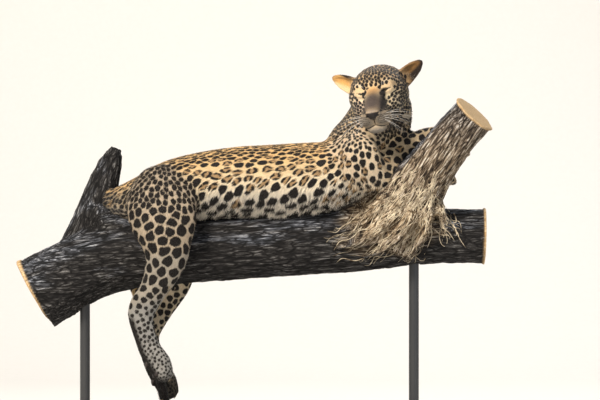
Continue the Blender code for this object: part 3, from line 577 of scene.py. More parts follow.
corner_flat = np.zeros(4 * len(skin.data.polygons), np.int32)
skin.data.polygons.foreach_get("vertices", corner_flat)
quads = corner_flat.reshape(-1, 4)
skin_triangles = np.concatenate((quads[:, [0, 1, 2]], quads[:, [0, 2, 3]]))
skin_sides = skin_points[skin_triangles]
triangle_area = 0.5 * np.linalg.norm(
    np.cross(skin_sides[:, 1] - skin_sides[:, 0], skin_sides[:, 2] - skin_sides[:, 0]), axis=1
)


def scattered(per_area, chance):
    """Even random places on the skin: a triangle and three weights for each, at a number per square metre."""
    expected = triangle_area * per_area[skin_triangles].mean(axis=1)
    count = np.floor(expected + chance.random(len(expected))).astype(int)
    chosen = np.repeat(np.arange(len(expected)), count)
    first = chance.random(len(chosen))
    rank = np.arange(len(chosen)) - np.repeat(np.cumsum(count) - count, count)
    second = (rank * 0.754877666 + chance.random(len(expected))[chosen]) % 1
    root = np.sqrt(first)
    return chosen, np.stack((1 - root, root * (1 - second), root * second), axis=1)


def at_places(values, places):
    chosen, weights = places
    picked = values[skin_triangles[chosen]]
    return np.einsum("nk,nk...->n...", weights, picked)


chance = np.random.default_rng(SPOT_SEED)
tries = scattered(1e6 / np.maximum(spot_rows[:, 0], 4) ** 2 * SPOT_TRIES, chance)
order = chance.permutation(len(tries[0]))
tries = (tries[0][order], tries[1][order])
try_at = at_places(skin_points, tries)
try_space = 0.001 * at_places(spot_rows[:, 0], tries)
try_lie = unit(at_places(lie, tries))
try_normal = unit(at_places(skin_normals, tries))
try_kept = at_places(spots_kept, tries) > 0.5
try_side = np.cross(try_normal, try_lie)
try_stretch = at_places(spot_rows[:, 1], tries)
taken = np.zeros((len(try_at), 4))
taken_count = 0
spot_index = []
for i in np.flatnonzero(try_kept):
    if taken_count:
        apart = taken[:taken_count, :3] - try_at[i]
        gap = np.hypot(apart @ try_lie[i] / try_stretch[i], apart @ try_side[i] * try_stretch[i])
        gap = np.hypot(gap, apart @ try_normal[i])
        if (gap < 0.48 * (try_space[i] + taken[:taken_count, 3])).any():
            continue
    taken[taken_count] = (*try_at[i], try_space[i])
    taken_count += 1
    spot_index.append(i)


def nearest_of(points, places):
    """Which of the points is nearest to each place."""
    tree = KDTree(len(points))
    for i, point in enumerate(points.tolist()):
        tree.insert(point, i)
    tree.balance()
    return np.array([tree.find(place)[1] for place in places.tolist()])


# The marks settle to even gaps: each moves to the middle of the tries that are nearest to it.
spot_index = np.array(spot_index)
for _ in range(SPOT_SETTLING):
    mine = nearest_of(try_at[spot_index], try_at)
    share = np.bincount(mine, minlength=taken_count)
    middle = np.stack([np.bincount(mine, weights=try_at[:, k], minlength=taken_count) for k in range(3)], axis=1)
    spot_index = nearest_of(try_at, middle / np.maximum(share, 1)[:, None])
spot_index = np.unique(spot_index)
spot_index = spot_index[try_kept[spot_index]]
spot_count = len(spot_index)
spot_at, spot_space, spot_stretch = try_at[spot_index], try_space[spot_index], try_stretch[spot_index]
spot_frames = np.stack((try_lie[spot_index], try_side[spot_index], try_normal[spot_index]), axis=1)
chosen_tries = (tries[0][spot_index], tries[1][spot_index])
spot_is_rosette = chance.random(spot_count) < at_places(spot_rows[:, 2], chosen_tries)
spot_fill = at_places(spot_rows[:, 3], chosen_tries) * chance.uniform(0.88, 1.1, spot_count)
spot_wobble = chance.random((spot_count, 3)) * 2 * math.pi
spot_notches = np.where(chance.random(spot_count) < 0.5, 3, np.where(chance.random(spot_count) < 0.6, 2, 4))
CELL = 0.024
MARK_GAP = 0.095
JOINED_PAIRS = 0.03
TAIL_RINGS = ((0.330, 0.295), (0.275, 0.235), (0.200, 0.105), (0.080, 0.020))


def markings(points, normals):
    """Signed distance in millimetres from each point to the nearest edge of a dark mark, and how tan it is."""
    first = np.full(len(points), 9.0)
    second = np.full(len(points), 9.0)
    owner = np.zeros(len(points), int)
    rival = np.zeros(len(points), int)
    angle = np.zeros(len(points))
    cells = np.floor(points / CELL).astype(np.int64) + 200
    keys = (cells[:, 0] * 512 + cells[:, 1]) * 512 + cells[:, 2]
    order = np.argsort(keys, kind="stable")
    sorted_keys = keys[order]
    for i in range(spot_count):
        low, high = (np.floor((spot_at[i] + side * 1.15 * spot_space[i]) / CELL).astype(int) + 200 for side in (-1, 1))
        near = []
        for x in range(low[0], high[0] + 1):
            for y in range(low[1], high[1] + 1):
                base = (x * 512 + y) * 512
                start, end = np.searchsorted(sorted_keys, (base + low[2], base + high[2] + 1))
                near.append(order[start:end])
        near = np.concatenate(near)
        near = near[normals[near] @ spot_frames[i][2] > -0.2]
        if not len(near):
            continue
        along, across, out = ((points[near] - spot_at[i]) @ spot_frames[i].T).T
        turn = np.arctan2(across, along)
        a, b, c = spot_wobble[i]
        edge = 1 + 0.08 * np.sin(2 * turn + a) + 0.07 * np.sin(3 * turn + b) + 0.04 * np.sin(5 * turn + c)
        away = np.hypot(np.hypot(along / spot_stretch[i], across * spot_stretch[i]), out) / (spot_space[i] * edge)
        closer = away < first[near]
        next_closer = closer | (away < second[near])
        rival[near] = np.where(closer, owner[near], np.where(next_closer, i, rival[near]))
        second[near] = np.where(closer, first[near], np.minimum(second[near], away))
        first[near] = np.where(closer, away, first[near])
        owner[near[closer]] = i
        angle[near[closer]] = turn[closer]
    space = 1000 * spot_space[owner]
    pair = np.minimum(owner, rival) * 7919 + np.maximum(owner, rival) * 104729
    joined = (pair % 1000) < 1000 * JOINED_PAIRS
    gap = np.where(joined, -1.0, MARK_GAP * np.clip(space / 16, 0.35, 1))
    mark = np.maximum(gap - 0.5 * (second - first), first - spot_fill[owner]) * space
    hole = 0.36 * spot_fill[owner]
    petal = spot_notches[owner] * (angle + spot_wobble[owner, 0])
    notch = (0.5 - 0.5 * np.cos(petal)) ** 7
    ring = np.maximum(mark, (hole * (1 + 1.9 * notch) - first) * space)
    is_rosette = spot_is_rosette[owner]
    tan = np.where(is_rosette, ramp(mark, 0.4, -1.2), 0) * (first < 8)
    return np.where(is_rosette, ring, mark), tan


def tail_rings(points):
    """Signed distance in millimetres to the dark rings on the tail's lower half."""
    mark = np.full(len(points), 9.0)
    for high, low in TAIL_RINGS:
        ring = 1000 * np.maximum(points[:, 2] - high, low - points[:, 2])
        mark = np.minimum(mark, np.where(points[:, 1] > 0.035, ring, 9.0))
    return np.where((points[:, 0] < -0.215) | (points[:, 2] < 0.10), mark, 9.0)


def strokes(points):
    """Signed distance in millimetres to the nearest of the face's strokes."""
    mark = np.full(len(points), 9.0)
    close = np.flatnonzero(np.linalg.norm(points - np.array(FACE_MIDDLE), axis=1) < 0.16)
    for at, half in zip(stroke_points, stroke_widths):
        gap = points[close] - at
        gap = 1000 * np.sqrt((gap * gap).sum(axis=1)) - half
        mark[close] = np.minimum(mark[close], gap)
    return mark


skin_mark, skin_tan = markings(skin_points, skin_normals)
on_tail_tip = of_kind["tail_middle"] + of_kind["tail_tip"] > 0.5
skin_mark = np.minimum(skin_mark + 6 * (spots_kept < 0.5), strokes(skin_points))
skin_mark = np.where(on_tail_tip, np.minimum(skin_mark, tail_rings(skin_points)), skin_mark)

# The pelt as a material: short guard hair, cream to gold with black-brown marks. Hair scatters light softly and
# has a faint sheen at grazing angles, and is darker near its root than at its tip. Bare nose skin is damp leather.
HAIR_GRAIN = 900.0


def add(tree, kind, settings, links=()):
    """One node with its settings, by attribute name or socket, and what each of its sockets is fed from."""
    node = tree.nodes.new(kind)
    for name, value in settings.items():
        if isinstance(name, str) and name in node.bl_rna.properties:
            setattr(node, name, value)
        else:
            node.inputs[name].default_value = value
    for socket, source in dict(links).items():
        tree.links.new(source, node.inputs[socket])
    return node


def material(name, **sockets):
    """A material, its tree and its shader, with values on the shader's own sockets."""
    made = bpy.data.materials.new(name)
    made.use_nodes = True
    shader = made.node_tree.nodes["Principled BSDF"]
    for socket, value in sockets.items():
        shader.inputs[socket.replace("_", " ")].default_value = value
    return made, made.node_tree, shader


pelt, tree, shader = material("short_guard_hair", Roughness=0.62, IOR=1.55, Specular_IOR_Level=0.22, Sheen_Weight=0.08)
shader.inputs["Sheen Roughness"].default_value = 0.5
place = add(tree, "ShaderNodeTexCoord", {})
ground_in = add(tree, "ShaderNodeAttribute", {"attribute_name": "ground"})
mark_in = add(tree, "ShaderNodeAttribute", {"attribute_name": "mark"})
tan_in = add(tree, "ShaderNodeAttribute", {"attribute_name": "tan"})
tone_in = add(tree, "ShaderNodeAttribute", {"attribute_name": "tone"})
bare_in = add(tree, "ShaderNodeAttribute", {"attribute_name": "bare"})
grain = add(tree, "ShaderNodeTexNoise", {"Scale": HAIR_GRAIN, "Detail": 3.0}, {"Vector": place.outputs["Object"]})
ragged = add(tree, "ShaderNodeMath", {"operation": "MULTIPLY_ADD", 1: 2.2, 2: -1.1}, {0: grain.outputs[0]})
edge = add(tree, "ShaderNodeMath", {"operation": "ADD"}, {0: mark_in.outputs["Fac"], 1: ragged.outputs[0]})
dark = add(tree, "ShaderNodeMapRange", {"From Min": 0.7, "From Max": -0.7}, {"Value": edge.outputs[0]})
tanned = add(
    tree,
    "ShaderNodeMix",
    {"data_type": "RGBA", 7: colour(ROSETTE_TAN)},
    {0: tan_in.outputs["Fac"], 6: ground_in.outputs["Color"]},
)
toned = add(
    tree,
    "ShaderNodeMix",
    {"data_type": "RGBA", "blend_type": "MULTIPLY", 0: 1.0},
    {6: tanned.outputs[2], 7: tone_in.outputs["Color"]},
)
marked = add(
    tree,
    "ShaderNodeMix",
    {"data_type": "RGBA", 7: colour(DARK_MARK)},
    {0: dark.outputs["Result"], 6: toned.outputs[2]},
)
hair_bump = add(tree, "ShaderNodeBump", {"Strength": 0.5, "Distance": 0.0006}, {"Height": grain.outputs[0]})
damp = add(
    tree,
    "ShaderNodeMapRange",
    {"From Min": 0.0, "From Max": 1.0, "To Min": 0.62, "To Max": 0.38},
    {"Value": bare_in.outputs["Fac"]},
)
tree.links.new(marked.outputs[2], shader.inputs["Base Color"])
tree.links.new(damp.outputs["Result"], shader.inputs["Roughness"])
tree.links.new(hair_bump.outputs["Normal"], shader.inputs["Normal"])


def give(mesh, name, kind, values):
    """A named attribute on the mesh's corners."""
    layer = mesh.attributes.new(name, kind, "POINT")
    if kind == "FLOAT_COLOR":
        values = np.column_stack((values, np.ones(len(values))))
        layer.data.foreach_set("color", values.astype(np.float32).ravel())
    else:
        layer.data.foreach_set("value", values.astype(np.float32).ravel())


def packed_charts(chart, flat):
    """Flat places of many charts, laid side by side in the unit square at one scale."""
    uv = np.zeros_like(flat)
    names = np.unique(chart)
    boxes = []
    for name in names:
        part = flat[chart == name]
        low, high = part.min(axis=0), part.max(axis=0)
        boxes.append((high[1] - low[1], high[0] - low[0], name, low))
    boxes.sort(key=lambda b: -b[0])
    width = 1.15 * math.sqrt(sum((b[0] + 0.004) * (b[1] + 0.004) for b in boxes))
    width = max(width, max(b[1] for b in boxes) + 0.008)
    x = y = 0.004
    row = 0.0
    reach = width
    for tall, wide, name, low in boxes:
        if x + wide + 0.004 > width:
            x = 0.004
            y += row + 0.004
            row = 0.0
        uv[chart == name] = flat[chart == name] - low + (x, y)
        x += wide + 0.004
        row = max(row, tall)
        reach = max(reach, y + row + 0.004)
    return uv / reach


def unwrapped(points, normals, region):
    """The skin opened out: each region's faces that look the same way make one flat chart."""
    axis = np.abs(normals).argmax(axis=1)
    way = np.sign(normals[np.arange(len(normals)), axis]) > 0
    flat = np.where((axis == 0)[:, None], points[:, [1, 2]], np.where((axis == 1)[:, None], points[:, [0, 2]], points[:, :2]))
    return region * 6 + axis * 2 + way, flat


skin.data.materials.append(pelt)
give(skin.data, "ground", "FLOAT_COLOR", ground)
give(skin.data, "mark", "FLOAT", skin_mark)
give(skin.data, "tan", "FLOAT", skin_tan)
give(skin.data, "bare", "FLOAT", bare)
give(skin.data, "tone", "FLOAT_COLOR", np.full((len(skin_points), 3), 0.80))
quad_middles = skin_points[quads].mean(axis=1)
quad_normals = unit(smooth_normals[quads].mean(axis=1))
quad_region = share_of[quads].mean(axis=1).argmax(axis=1)
chart, _ = unwrapped(quad_middles, quad_normals, quad_region)
loop_chart = np.repeat(chart, 4)
loop_points = skin_points[quads.ravel()]
loop_flat = unwrapped(loop_points, np.repeat(quad_normals, 4, axis=0), np.repeat(quad_region, 4))[1]
bake_map = skin.data.uv_layers.new(name="OFBake")
bake_map.data.foreach_set("uv", packed_charts(loop_chart, loop_flat).astype(np.float32).ravel())
skin.data.polygons.foreach_set("use_smooth", np.ones(len(skin.data.polygons), bool))
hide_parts(*FLESH)
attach(skin, "root")

# The coat's hair, as thin solid tufts that lie over one another from nose to tail. Each is a slim pointed wedge
# rooted in the skin, and carries the markings of the place that it grows from.
TUFT_SEED = 23
TUFT_LAYERS = 1.75
PIECE_TUFTS = 49000
TUFT_MARKED_AT = (0.30, 0.80)
COAT_PIECES = {
    "head": ("head", "ear_left", "ear_right"),
    "neck": ("neck",),
    "body": ("torso", "tail_root"),
    "forelegs": tuple(n for n in FLESH if n.startswith("fore")),
    "thighs": ("hind_left_thigh", "hind_right_thigh"),
    "shanks": ("hind_left_shin", "hind_right_shin", "hind_left_foot", "hind_right_foot"),
    "tail": ("tail_middle", "tail_tip"),
}


def mesh_of(name, points, faces):
    """A mesh from arrays of corners and of faces that all have the same number of them."""
    mesh = bpy.data.meshes.new(name)
    mesh.vertices.add(len(points))
    mesh.vertices.foreach_set("co", points.astype(np.float32).ravel())
    mesh.loops.add(faces.size)
    mesh.loops.foreach_set("vertex_index", faces.astype(np.int32).ravel())
    mesh.polygons.add(len(faces))
    mesh.polygons.foreach_set("loop_start", np.arange(0, faces.size, faces.shape[1], dtype=np.int32))
    mesh.update(calc_edges=True)
    return mesh


WEDGE_FACES = np.array(((0, 2, 3), (2, 1, 3), (1, 0, 3), (0, 1, 2)))
WEDGE_PATCH = np.array(((-1, -0.9), (1, -0.9), (0, -0.4), (0, 1.0)))


def wedges(roots, normals, directions, lengths, widths, lifts):
    """Corners of slim closed wedges: two low sides, a ridge and a tip."""
    side = np.cross(normals, directions)
    half = 0.5 * widths[:, None] * side
    sunk = roots - 0.0004 * normals
    tip = roots + lengths[:, None] * (np.cos(lifts)[:, None] * directions + np.sin(lifts)[:, None] * normals)
    ridge = sunk + (0.30 * widths + 0.0002)[:, None] * normals + 0.12 * lengths[:, None] * directions
    return np.stack((sunk + half, sunk - half, ridge, tip), axis=1)


short_face = on_head * ramp(from_nose, 0.115, 0.035)
tuft_length = tuft_length * (1 - 0.55 * short_face)
tuft_width = tuft_width * (1 - 0.25 * short_face)
tuft_length *= 1 - 0.18 * of_kind["torso"] * on_back
tuft_lift = tuft_lift - 4 * of_kind["torso"] * on_back
tuft_length *= 1 - 0.5 * on_head * ramp(from_eye, 0.030, 0.018)
tuft_area = 0.5 * tuft_length * tuft_width
per_area = 1e6 * TUFT_LAYERS / tuft_area * (bare < 0.35) * (1 - on_head * (from_eye < 0.0172))
chance = np.random.default_rng(TUFT_SEED)
roots = scattered(per_area, chance)
root_at = at_places(skin_points, roots)
root_normal = unit(at_places(skin_normals, roots))
root_lie = at_places(lie, roots)
swirl = chance.normal(0, 0.16, len(root_at))
root_lie = along_skin(root_lie, root_normal)
root_lie = np.cos(swirl)[:, None] * root_lie + np.sin(swirl)[:, None] * np.cross(root_normal, root_lie)
root_length = 0.001 * at_places(tuft_length, roots) * chance.uniform(0.75, 1.2, len(root_at))
root_width = 0.001 * at_places(tuft_width, roots) * chance.uniform(0.8, 1.2, len(root_at))
root_lift = np.radians(at_places(tuft_lift, roots) + chance.normal(0, 4.5, len(root_at)))
off_spots = 6 * (at_places(spots_kept, roots) < 0.5)
roots_on_tail = at_places(on_tail_tip.astype(float), roots) > 0.5
tuft_marks = []
for share in TUFT_MARKED_AT:
    place = root_at + share * root_length[:, None] * root_lie
    mark, root_tan = markings(place, root_normal)
    mark = np.minimum(mark + off_spots, strokes(place))
    tuft_marks.append(np.where(roots_on_tail, np.minimum(mark, tail_rings(place)), mark))
root_ground = at_places(ground, roots)
root_tone = chance.uniform(0.84, 1.12, len(root_at))
root_region = at_places(share_of, roots).argmax(axis=1)
for label, members in COAT_PIECES.items():
    chosen = np.flatnonzero(np.isin(root_region, [FLESH.index(m) for m in members]))
    chosen = chosen[np.argsort(root_at[chosen, 0], kind="stable")]
    pieces = max(1, math.ceil(len(chosen) / PIECE_TUFTS))
    for number, part in enumerate(np.array_split(chosen, pieces)):
        corners = wedges(
            root_at[part], root_normal[part], root_lie[part], root_length[part], root_width[part], root_lift[part]
        )
        faces = WEDGE_FACES[None] + 4 * np.arange(len(part))[:, None, None]
        mesh = mesh_of(f"coat_{label}_{number + 1}", corners.reshape(-1, 3), faces.reshape(-1, 3))
        give(mesh, "ground", "FLOAT_COLOR", np.repeat(root_ground[part], 4, axis=0))
        give(mesh, "mark", "FLOAT", np.stack([tuft_marks[k][part] for k in (0, 0, 0, 1)], axis=1).ravel())
        give(mesh, "tan", "FLOAT", np.repeat(root_tan[part], 4))
        give(mesh, "bare", "FLOAT", np.zeros(4 * len(part)))
        tone = root_tone[part][:, None] * np.array((0.78, 0.78, 0.86, 1.10))
        give(mesh, "tone", "FLOAT_COLOR", np.repeat(tone.ravel()[:, None], 3, axis=1))
        uv = packed_charts(*unwrapped(root_at[part], root_normal[part], root_region[part]))
        patch = 0.0015 * WEDGE_PATCH[WEDGE_FACES]
        loops = uv[:, None, None] + patch[None]
        mesh.uv_layers.new(name="OFBake").data.foreach_set("uv", loops.astype(np.float32).ravel())
        mesh.materials.append(pelt)
        made = new_object(f"coat_{label}_{number + 1}", mesh)
        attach(made, "root")

# The long soft fringe under the flanks and throat, in curved locks that hang past the belly's edge.
FRINGE_LENGTH = 0.026
FRINGE_WIDTH = 0.0019
FRINGE_SPACE = 0.0034
LOCK_MARKED_AT = (0.05, 0.45, 0.85)
LOCK_FACES = np.array(
    ((0, 3, 4), (0, 4, 1), (1, 4, 5), (1, 5, 2), (2, 5, 3), (2, 3, 0), (3, 6, 4), (4, 6, 5), (5, 6, 3), (0, 1, 2))
)
LOCK_PATCH = np.array(((-1, -1), (1, -1), (0, -0.6), (-0.8, 0), (0.8, 0), (0, 0.3), (0, 1.0)))


def locks(roots, normals, directions, lengths, widths, hang):
    """Corners of curved closed locks: a triangle at the root, one halfway and a tip that hangs."""
    side = np.cross(normals, directions)
    half = 0.5 * widths[:, None] * side
    sunk = roots - 0.0006 * normals
    lift = 0.32 * normals + 0.95 * directions
    middle = roots + 0.5 * lengths[:, None] * unit(lift)
    fall = unit(0.55 * unit(lift) + hang[:, None] * np.array((0, 0, -1.0)) + 0.05 * normals)
    tip = middle + 0.55 * lengths[:, None] * fall
    rise = (0.4 * widths)[:, None] * normals
    parts = (sunk + half, sunk - half, sunk + rise, middle + 0.8 * half, middle - 0.8 * half, middle + 0.8 * rise, tip)
    return np.stack(parts, axis=1)


ruff = on_head * ramp(in_head[:, 1], -0.060, -0.010) * ramp(in_head[:, 2], -0.045, -0.080)
throat = of_kind["neck"] * ramp(smooth_normals[:, 2], 0.1, -0.3)
elbow = of_kind["fore_upper"] * ramp(skin_points[:, 2], 0.73, 0.68)
in_ears = of_kind["ear"] * ramp(facing[:, 1], -0.15, -0.45) * ramp(ear_height, 0.62, 0.30)
fringe_share = low_flank * ramp(up, -0.06, -0.32) + 0.8 * ruff + 0.6 * throat + 0.5 * elbow + 0.4 * in_ears
fringe_share = np.clip(fringe_share, 0, 1) * np.maximum(off_perch, 0.75 * low_flank)
chance = np.random.default_rng(TUFT_SEED + 1)
fringe = scattered(fringe_share / FRINGE_SPACE**2, chance)
fringe_at = at_places(skin_points, fringe)
fringe_normal = unit(at_places(skin_normals, fringe))
fringe_lie = along_skin(at_places(lie, fringe) + chance.normal(0, 0.14, fringe_at.shape), fringe_normal)
on_face = at_places(on_head, fringe)
fringe_size = FRINGE_LENGTH * chance.uniform(0.6, 1.15, len(fringe_at)) * at_places(fringe_share, fringe) ** 0.5
fringe_size *= 1 - 0.45 * on_face - 0.20 * at_places(in_ears, fringe)
fringe_marks = []
for share in LOCK_MARKED_AT:
    place = fringe_at + share * fringe_size[:, None] * fringe_lie
    mark, fringe_tan = markings(place, fringe_normal)
    fringe_marks.append(np.minimum(mark + 6 * at_places(in_ears, fringe), strokes(place)))
corners = locks(
    fringe_at,
    fringe_normal,
    fringe_lie,
    fringe_size,
    FRINGE_WIDTH * chance.uniform(0.7, 1.2, len(fringe_at)) * (1 - 0.3 * on_face),
    chance.uniform(0.2, 0.8, len(fringe_at)),
)
faces = LOCK_FACES[None] + 7 * np.arange(len(fringe_at))[:, None, None]
mesh = mesh_of("coat_fringe", corners.reshape(-1, 3), faces.reshape(-1, 3))
fringe_ground = tinted(at_places(ground, fringe), "F1E8D6", 0.30 * (1 - on_face) + 0.35 * at_places(in_ears, fringe))
give(mesh, "ground", "FLOAT_COLOR", np.repeat(fringe_ground, 7, axis=0))
give(mesh, "mark", "FLOAT", np.stack([fringe_marks[k] for k in (0, 0, 0, 1, 1, 1, 2)], axis=1).ravel())
give(mesh, "tan", "FLOAT", np.repeat(fringe_tan, 7))
give(mesh, "bare", "FLOAT", np.zeros(7 * len(fringe_at)))
tone = chance.uniform(0.84, 1.12, len(fringe_at))[:, None] * np.array((0.74, 0.74, 0.80, 0.98, 0.98, 1.03, 1.14))
give(mesh, "tone", "FLOAT_COLOR", np.repeat(tone.ravel()[:, None], 3, axis=1))
fringe_region = at_places(share_of, fringe).argmax(axis=1)
uv = packed_charts(*unwrapped(fringe_at, fringe_normal, fringe_region))
loops = uv[:, None, None] + 0.0015 * LOCK_PATCH[LOCK_FACES][None]
mesh.uv_layers.new(name="OFBake").data.foreach_set("uv", loops.astype(np.float32).ravel())
mesh.materials.append(pelt)
made = new_object("coat_fringe", mesh)
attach(made, "root")

# The whiskers and the long brow hairs: stiff white bristles that taper to a point, each rooted in a dark dot of
# the lip. They sweep out and back and droop a little at the tip. Each row: root, direction and length.
WHISKERS = (
    ((0.0331, -0.1351, -0.0440), (0.80, 0.10, 0.10), 0.062),
    ((0.0440, -0.1080, -0.0400), (0.85, 0.28, 0.16), 0.050),
    ((0.0281, -0.1422, -0.0495), (0.82, 0.00, -0.04), 0.080),
    ((0.0411, -0.1210, -0.0460), (0.90, 0.22, 0.02), 0.085),
    ((0.0300, -0.1426, -0.0550), (0.80, -0.02, -0.20), 0.086),
    ((0.0431, -0.1232, -0.0515), (0.90, 0.20, -0.10), 0.092),
    ((0.0290, -0.1427, -0.0600), (0.72, -0.02, -0.40), 0.074),
    ((0.0420, -0.1240, -0.0575), (0.85, 0.18, -0.26), 0.082),
    ((0.0329, -0.1361, -0.0650), (0.66, 0.05, -0.52), 0.056),
    ((0.0245, -0.0760, 0.0230), (0.30, -0.45, 0.75), 0.038),
    ((0.0290, -0.0745, 0.0250), (0.55, -0.35, 0.72), 0.032),
)
WHISKER_RADIUS = 0.00034
WHISKER_RINGS = 9


def tubes(name, lines, radii):
    """A mesh of closed four-sided tubes along lines of points, each with a radius at every point."""
    count, rings = lines.shape[:2]
    way = unit(np.gradient(lines, axis=1))
    side = unit(np.cross(way, (0.31, 0.52, 0.79)))
    other = np.cross(way, side)
    turns = np.array(((1, 0), (0, 1), (-1, 0), (0, -1)))
    round_line = side[:, :, None] * turns[:, :1] + other[:, :, None] * turns[:, 1:]
    corners = lines[:, :, None] + radii[:, :, None, None] * round_line
    walls = [(4 * i + k, 4 * i + (k + 1) % 4, 4 * i + 4 + (k + 1) % 4, 4 * i + 4 + k) for i in range(rings - 1) for k in range(4)]
    last = 4 * (rings - 1)
    faces = np.array([(3, 2, 1, 0), *walls, (last, last + 1, last + 2, last + 3)])
    faces = faces[None] + 4 * rings * np.arange(count)[:, None, None]
    mesh = mesh_of(name, corners.reshape(-1, 3), faces.reshape(-1, 4))
    mesh.polygons.foreach_set("use_smooth", np.ones(len(mesh.polygons), bool))
    return mesh


def strip_map(mesh, rings, count):
    """Each tube's walls as a narrow strip of its own in the bake map."""
    loops = np.zeros((count, 4 * (rings - 1) + 2, 4, 2))
    columns = math.ceil(math.sqrt(count))
    for k in range(4 * (rings - 1)):
        ring, side = divmod(k, 4)
        loops[:, k + 1] = ((side, ring), (side + 1, ring), (side + 1, ring + 1), (side, ring + 1))
    loops[:, 0] = ((0, 0), (1, 0), (1, 0.3), (0, 0.3))
    loops[:, -1] = ((0, 0), (1, 0), (1, 0.3), (0, 0.3))
    loops /= (4.6, (rings - 1) * 1.15)
    cell = np.stack((np.arange(count) % columns, np.arange(count) // columns), axis=1)
    uv = (loops + cell[:, None, None]) / columns
    mesh.uv_layers.new(name="OFBake").data.foreach_set("uv", uv.astype(np.float32).ravel())


bristle, tree, shader = material("white_bristle", Roughness=0.38, IOR=1.55, Specular_IOR_Level=0.4)
place = add(tree, "ShaderNodeTexCoord", {})
mottle = add(tree, "ShaderNodeTexNoise", {"Scale": 240.0, "Detail": 2.0}, {"Vector": place.outputs["Object"]})
bristle_tint = add(tree, "ShaderNodeValToRGB", {}, {"Fac": mottle.outputs[0]})
bristle_tint.color_ramp.elements[0].color = colour("D9D2C6")
bristle_tint.color_ramp.elements[1].color = colour("FBF8F2")
tree.links.new(bristle_tint.outputs[0], shader.inputs["Base Color"])
lines = []
for side in (1, -1):
    for root, way, length in WHISKERS:
        root = np.array(tuple(skin_tree.find_nearest(out_of_head([np.array(root) * (side, 1, 1)])[0].tolist())[0]))
        way = unit(np.array(way) * (side, 1, 1)) @ np.array(HEAD_TURN).T
        t = np.linspace(0, 1, WHISKER_RINGS)[:, None]
        droop = np.array((0, 0.22, -0.30)) * t**2
        lines.append(root + length * (t * way + droop) - 0.0015 * way)
lines = np.array(lines)
taper = np.broadcast_to(WHISKER_RADIUS * (1.02 - np.linspace(0, 1, WHISKER_RINGS)), lines.shape[:2])
mesh = tubes("whiskers", lines, taper)
strip_map(mesh, WHISKER_RINGS, len(lines))
mesh.materials.append(bristle)
whiskers = new_object("whiskers", mesh)
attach(whiskers, "root")

# The claws of the hanging hind feet: curved horn, grey at the root and translucent yellow at the point, of which
# only the last centimetre shows out of the toe's fur.
CLAW_RINGS = 7
CLAW_LENGTH = 0.011
CLAW_RADIUS = 0.0021
TOE_OFFSETS = (-0.0225, -0.0078, 0.0078, 0.0225)
HIND_TOES = ((-0.232, -0.130), (-0.227, 0.130))
horn, tree, shader = material("claw_horn", Roughness=0.32, IOR=1.54, Coat_Weight=0.2)
place = add(tree, "ShaderNodeTexCoord", {})
growth = add(tree, "ShaderNodeTexNoise", {"Scale": 330.0, "Detail": 3.0}, {"Vector": place.outputs["Object"]})
horn_tint = add(tree, "ShaderNodeValToRGB", {}, {"Fac": growth.outputs[0]})
horn_tint.color_ramp.elements[0].color = colour("5E5142")
horn_tint.color_ramp.elements[1].color = colour("B8A684")
tree.links.new(horn_tint.outputs[0], shader.inputs["Base Color"])
lines = []
for x, y in HIND_TOES:
    for offset in TOE_OFFSETS:
        hit = skin_tree.ray_cast(Vector((x, y + offset, 0.02)), Vector((0, 0, 1)))[0]
        if hit is None:
            continue
        t = np.linspace(0, 1, CLAW_RINGS)[:, None]
        curve = np.array((0.25, 0, -1.0)) * t + np.array((-0.75, 0, 0.10)) * t**2
        lines.append(np.array(tuple(hit)) + (0.002, 0, 0.003) + CLAW_LENGTH * curve)
lines = np.array(lines)
taper = np.broadcast_to(CLAW_RADIUS * (1.05 - np.linspace(0, 1, CLAW_RINGS) ** 1.4), lines.shape[:2])
mesh = tubes("claws", lines, taper)
strip_map(mesh, CLAW_RINGS, len(lines))
mesh.materials.append(horn)
claws = new_object("claws", mesh)
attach(claws, "root")

# The pads under the hind feet: thick pebbled black-brown skin, one broad pad and four toe pads a foot.
# Each is a flattened ball let into the sole: sideways, how high above the toes' tips, and its half sizes.
PADS = (
    (0.000, 0.040, (0.007, 0.0165, 0.0130)),
    (-0.021, 0.016, (0.006, 0.0062, 0.0085)),
    (-0.0073, 0.011, (0.006, 0.0064, 0.0090)),
    (0.0073, 0.011, (0.006, 0.0064, 0.0090)),
    (0.021, 0.016, (0.006, 0.0062, 0.0085)),
)
PAD_SUNK = 0.62
pad_skin, tree, shader = material("pad_skin", Roughness=0.55, IOR=1.45)
place = add(tree, "ShaderNodeTexCoord", {})
pebbles = add(tree, "ShaderNodeTexVoronoi", {"Scale": 620.0}, {"Vector": place.outputs["Object"]})
pad_tint = add(tree, "ShaderNodeValToRGB", {}, {"Fac": pebbles.outputs["Distance"]})
pad_tint.color_ramp.elements[0].color = colour("2E2522")
pad_tint.color_ramp.elements[1].color = colour("171210")
pad_bump = add(tree, "ShaderNodeBump", {"invert": True, "Strength": 0.5, "Distance": 0.0005}, {"Height": pebbles.outputs["Distance"]})
tree.links.new(pad_tint.outputs[0], shader.inputs["Base Color"])
tree.links.new(pad_bump.outputs["Normal"], shader.inputs["Normal"])
pads = bmesh.new()
for x, y in HIND_TOES:
    toe_tip = skin_tree.ray_cast(Vector((x, y + 0.0078, 0.02)), Vector((0, 0, 1)))[0]
    for sideways, above, sizes in PADS:
        start = Vector((-0.6, y + sideways, toe_tip.z + above))
        hit = skin_tree.ray_cast(start, Vector((1, 0, 0)))[0]
        if hit is None:
            continue
        place_at = Matrix.Translation(hit + Vector((PAD_SUNK * sizes[0], 0, 0))) @ Matrix.Diagonal((*sizes, 1))
        bmesh.ops.create_icosphere(pads, subdivisions=3, radius=1, matrix=place_at)
mesh = bpy.data.meshes.new("paw_pads")
pads.to_mesh(mesh)
pads.free()
mesh.polygons.foreach_set("use_smooth", np.ones(len(mesh.polygons), bool))
mesh.materials.append(pad_skin)
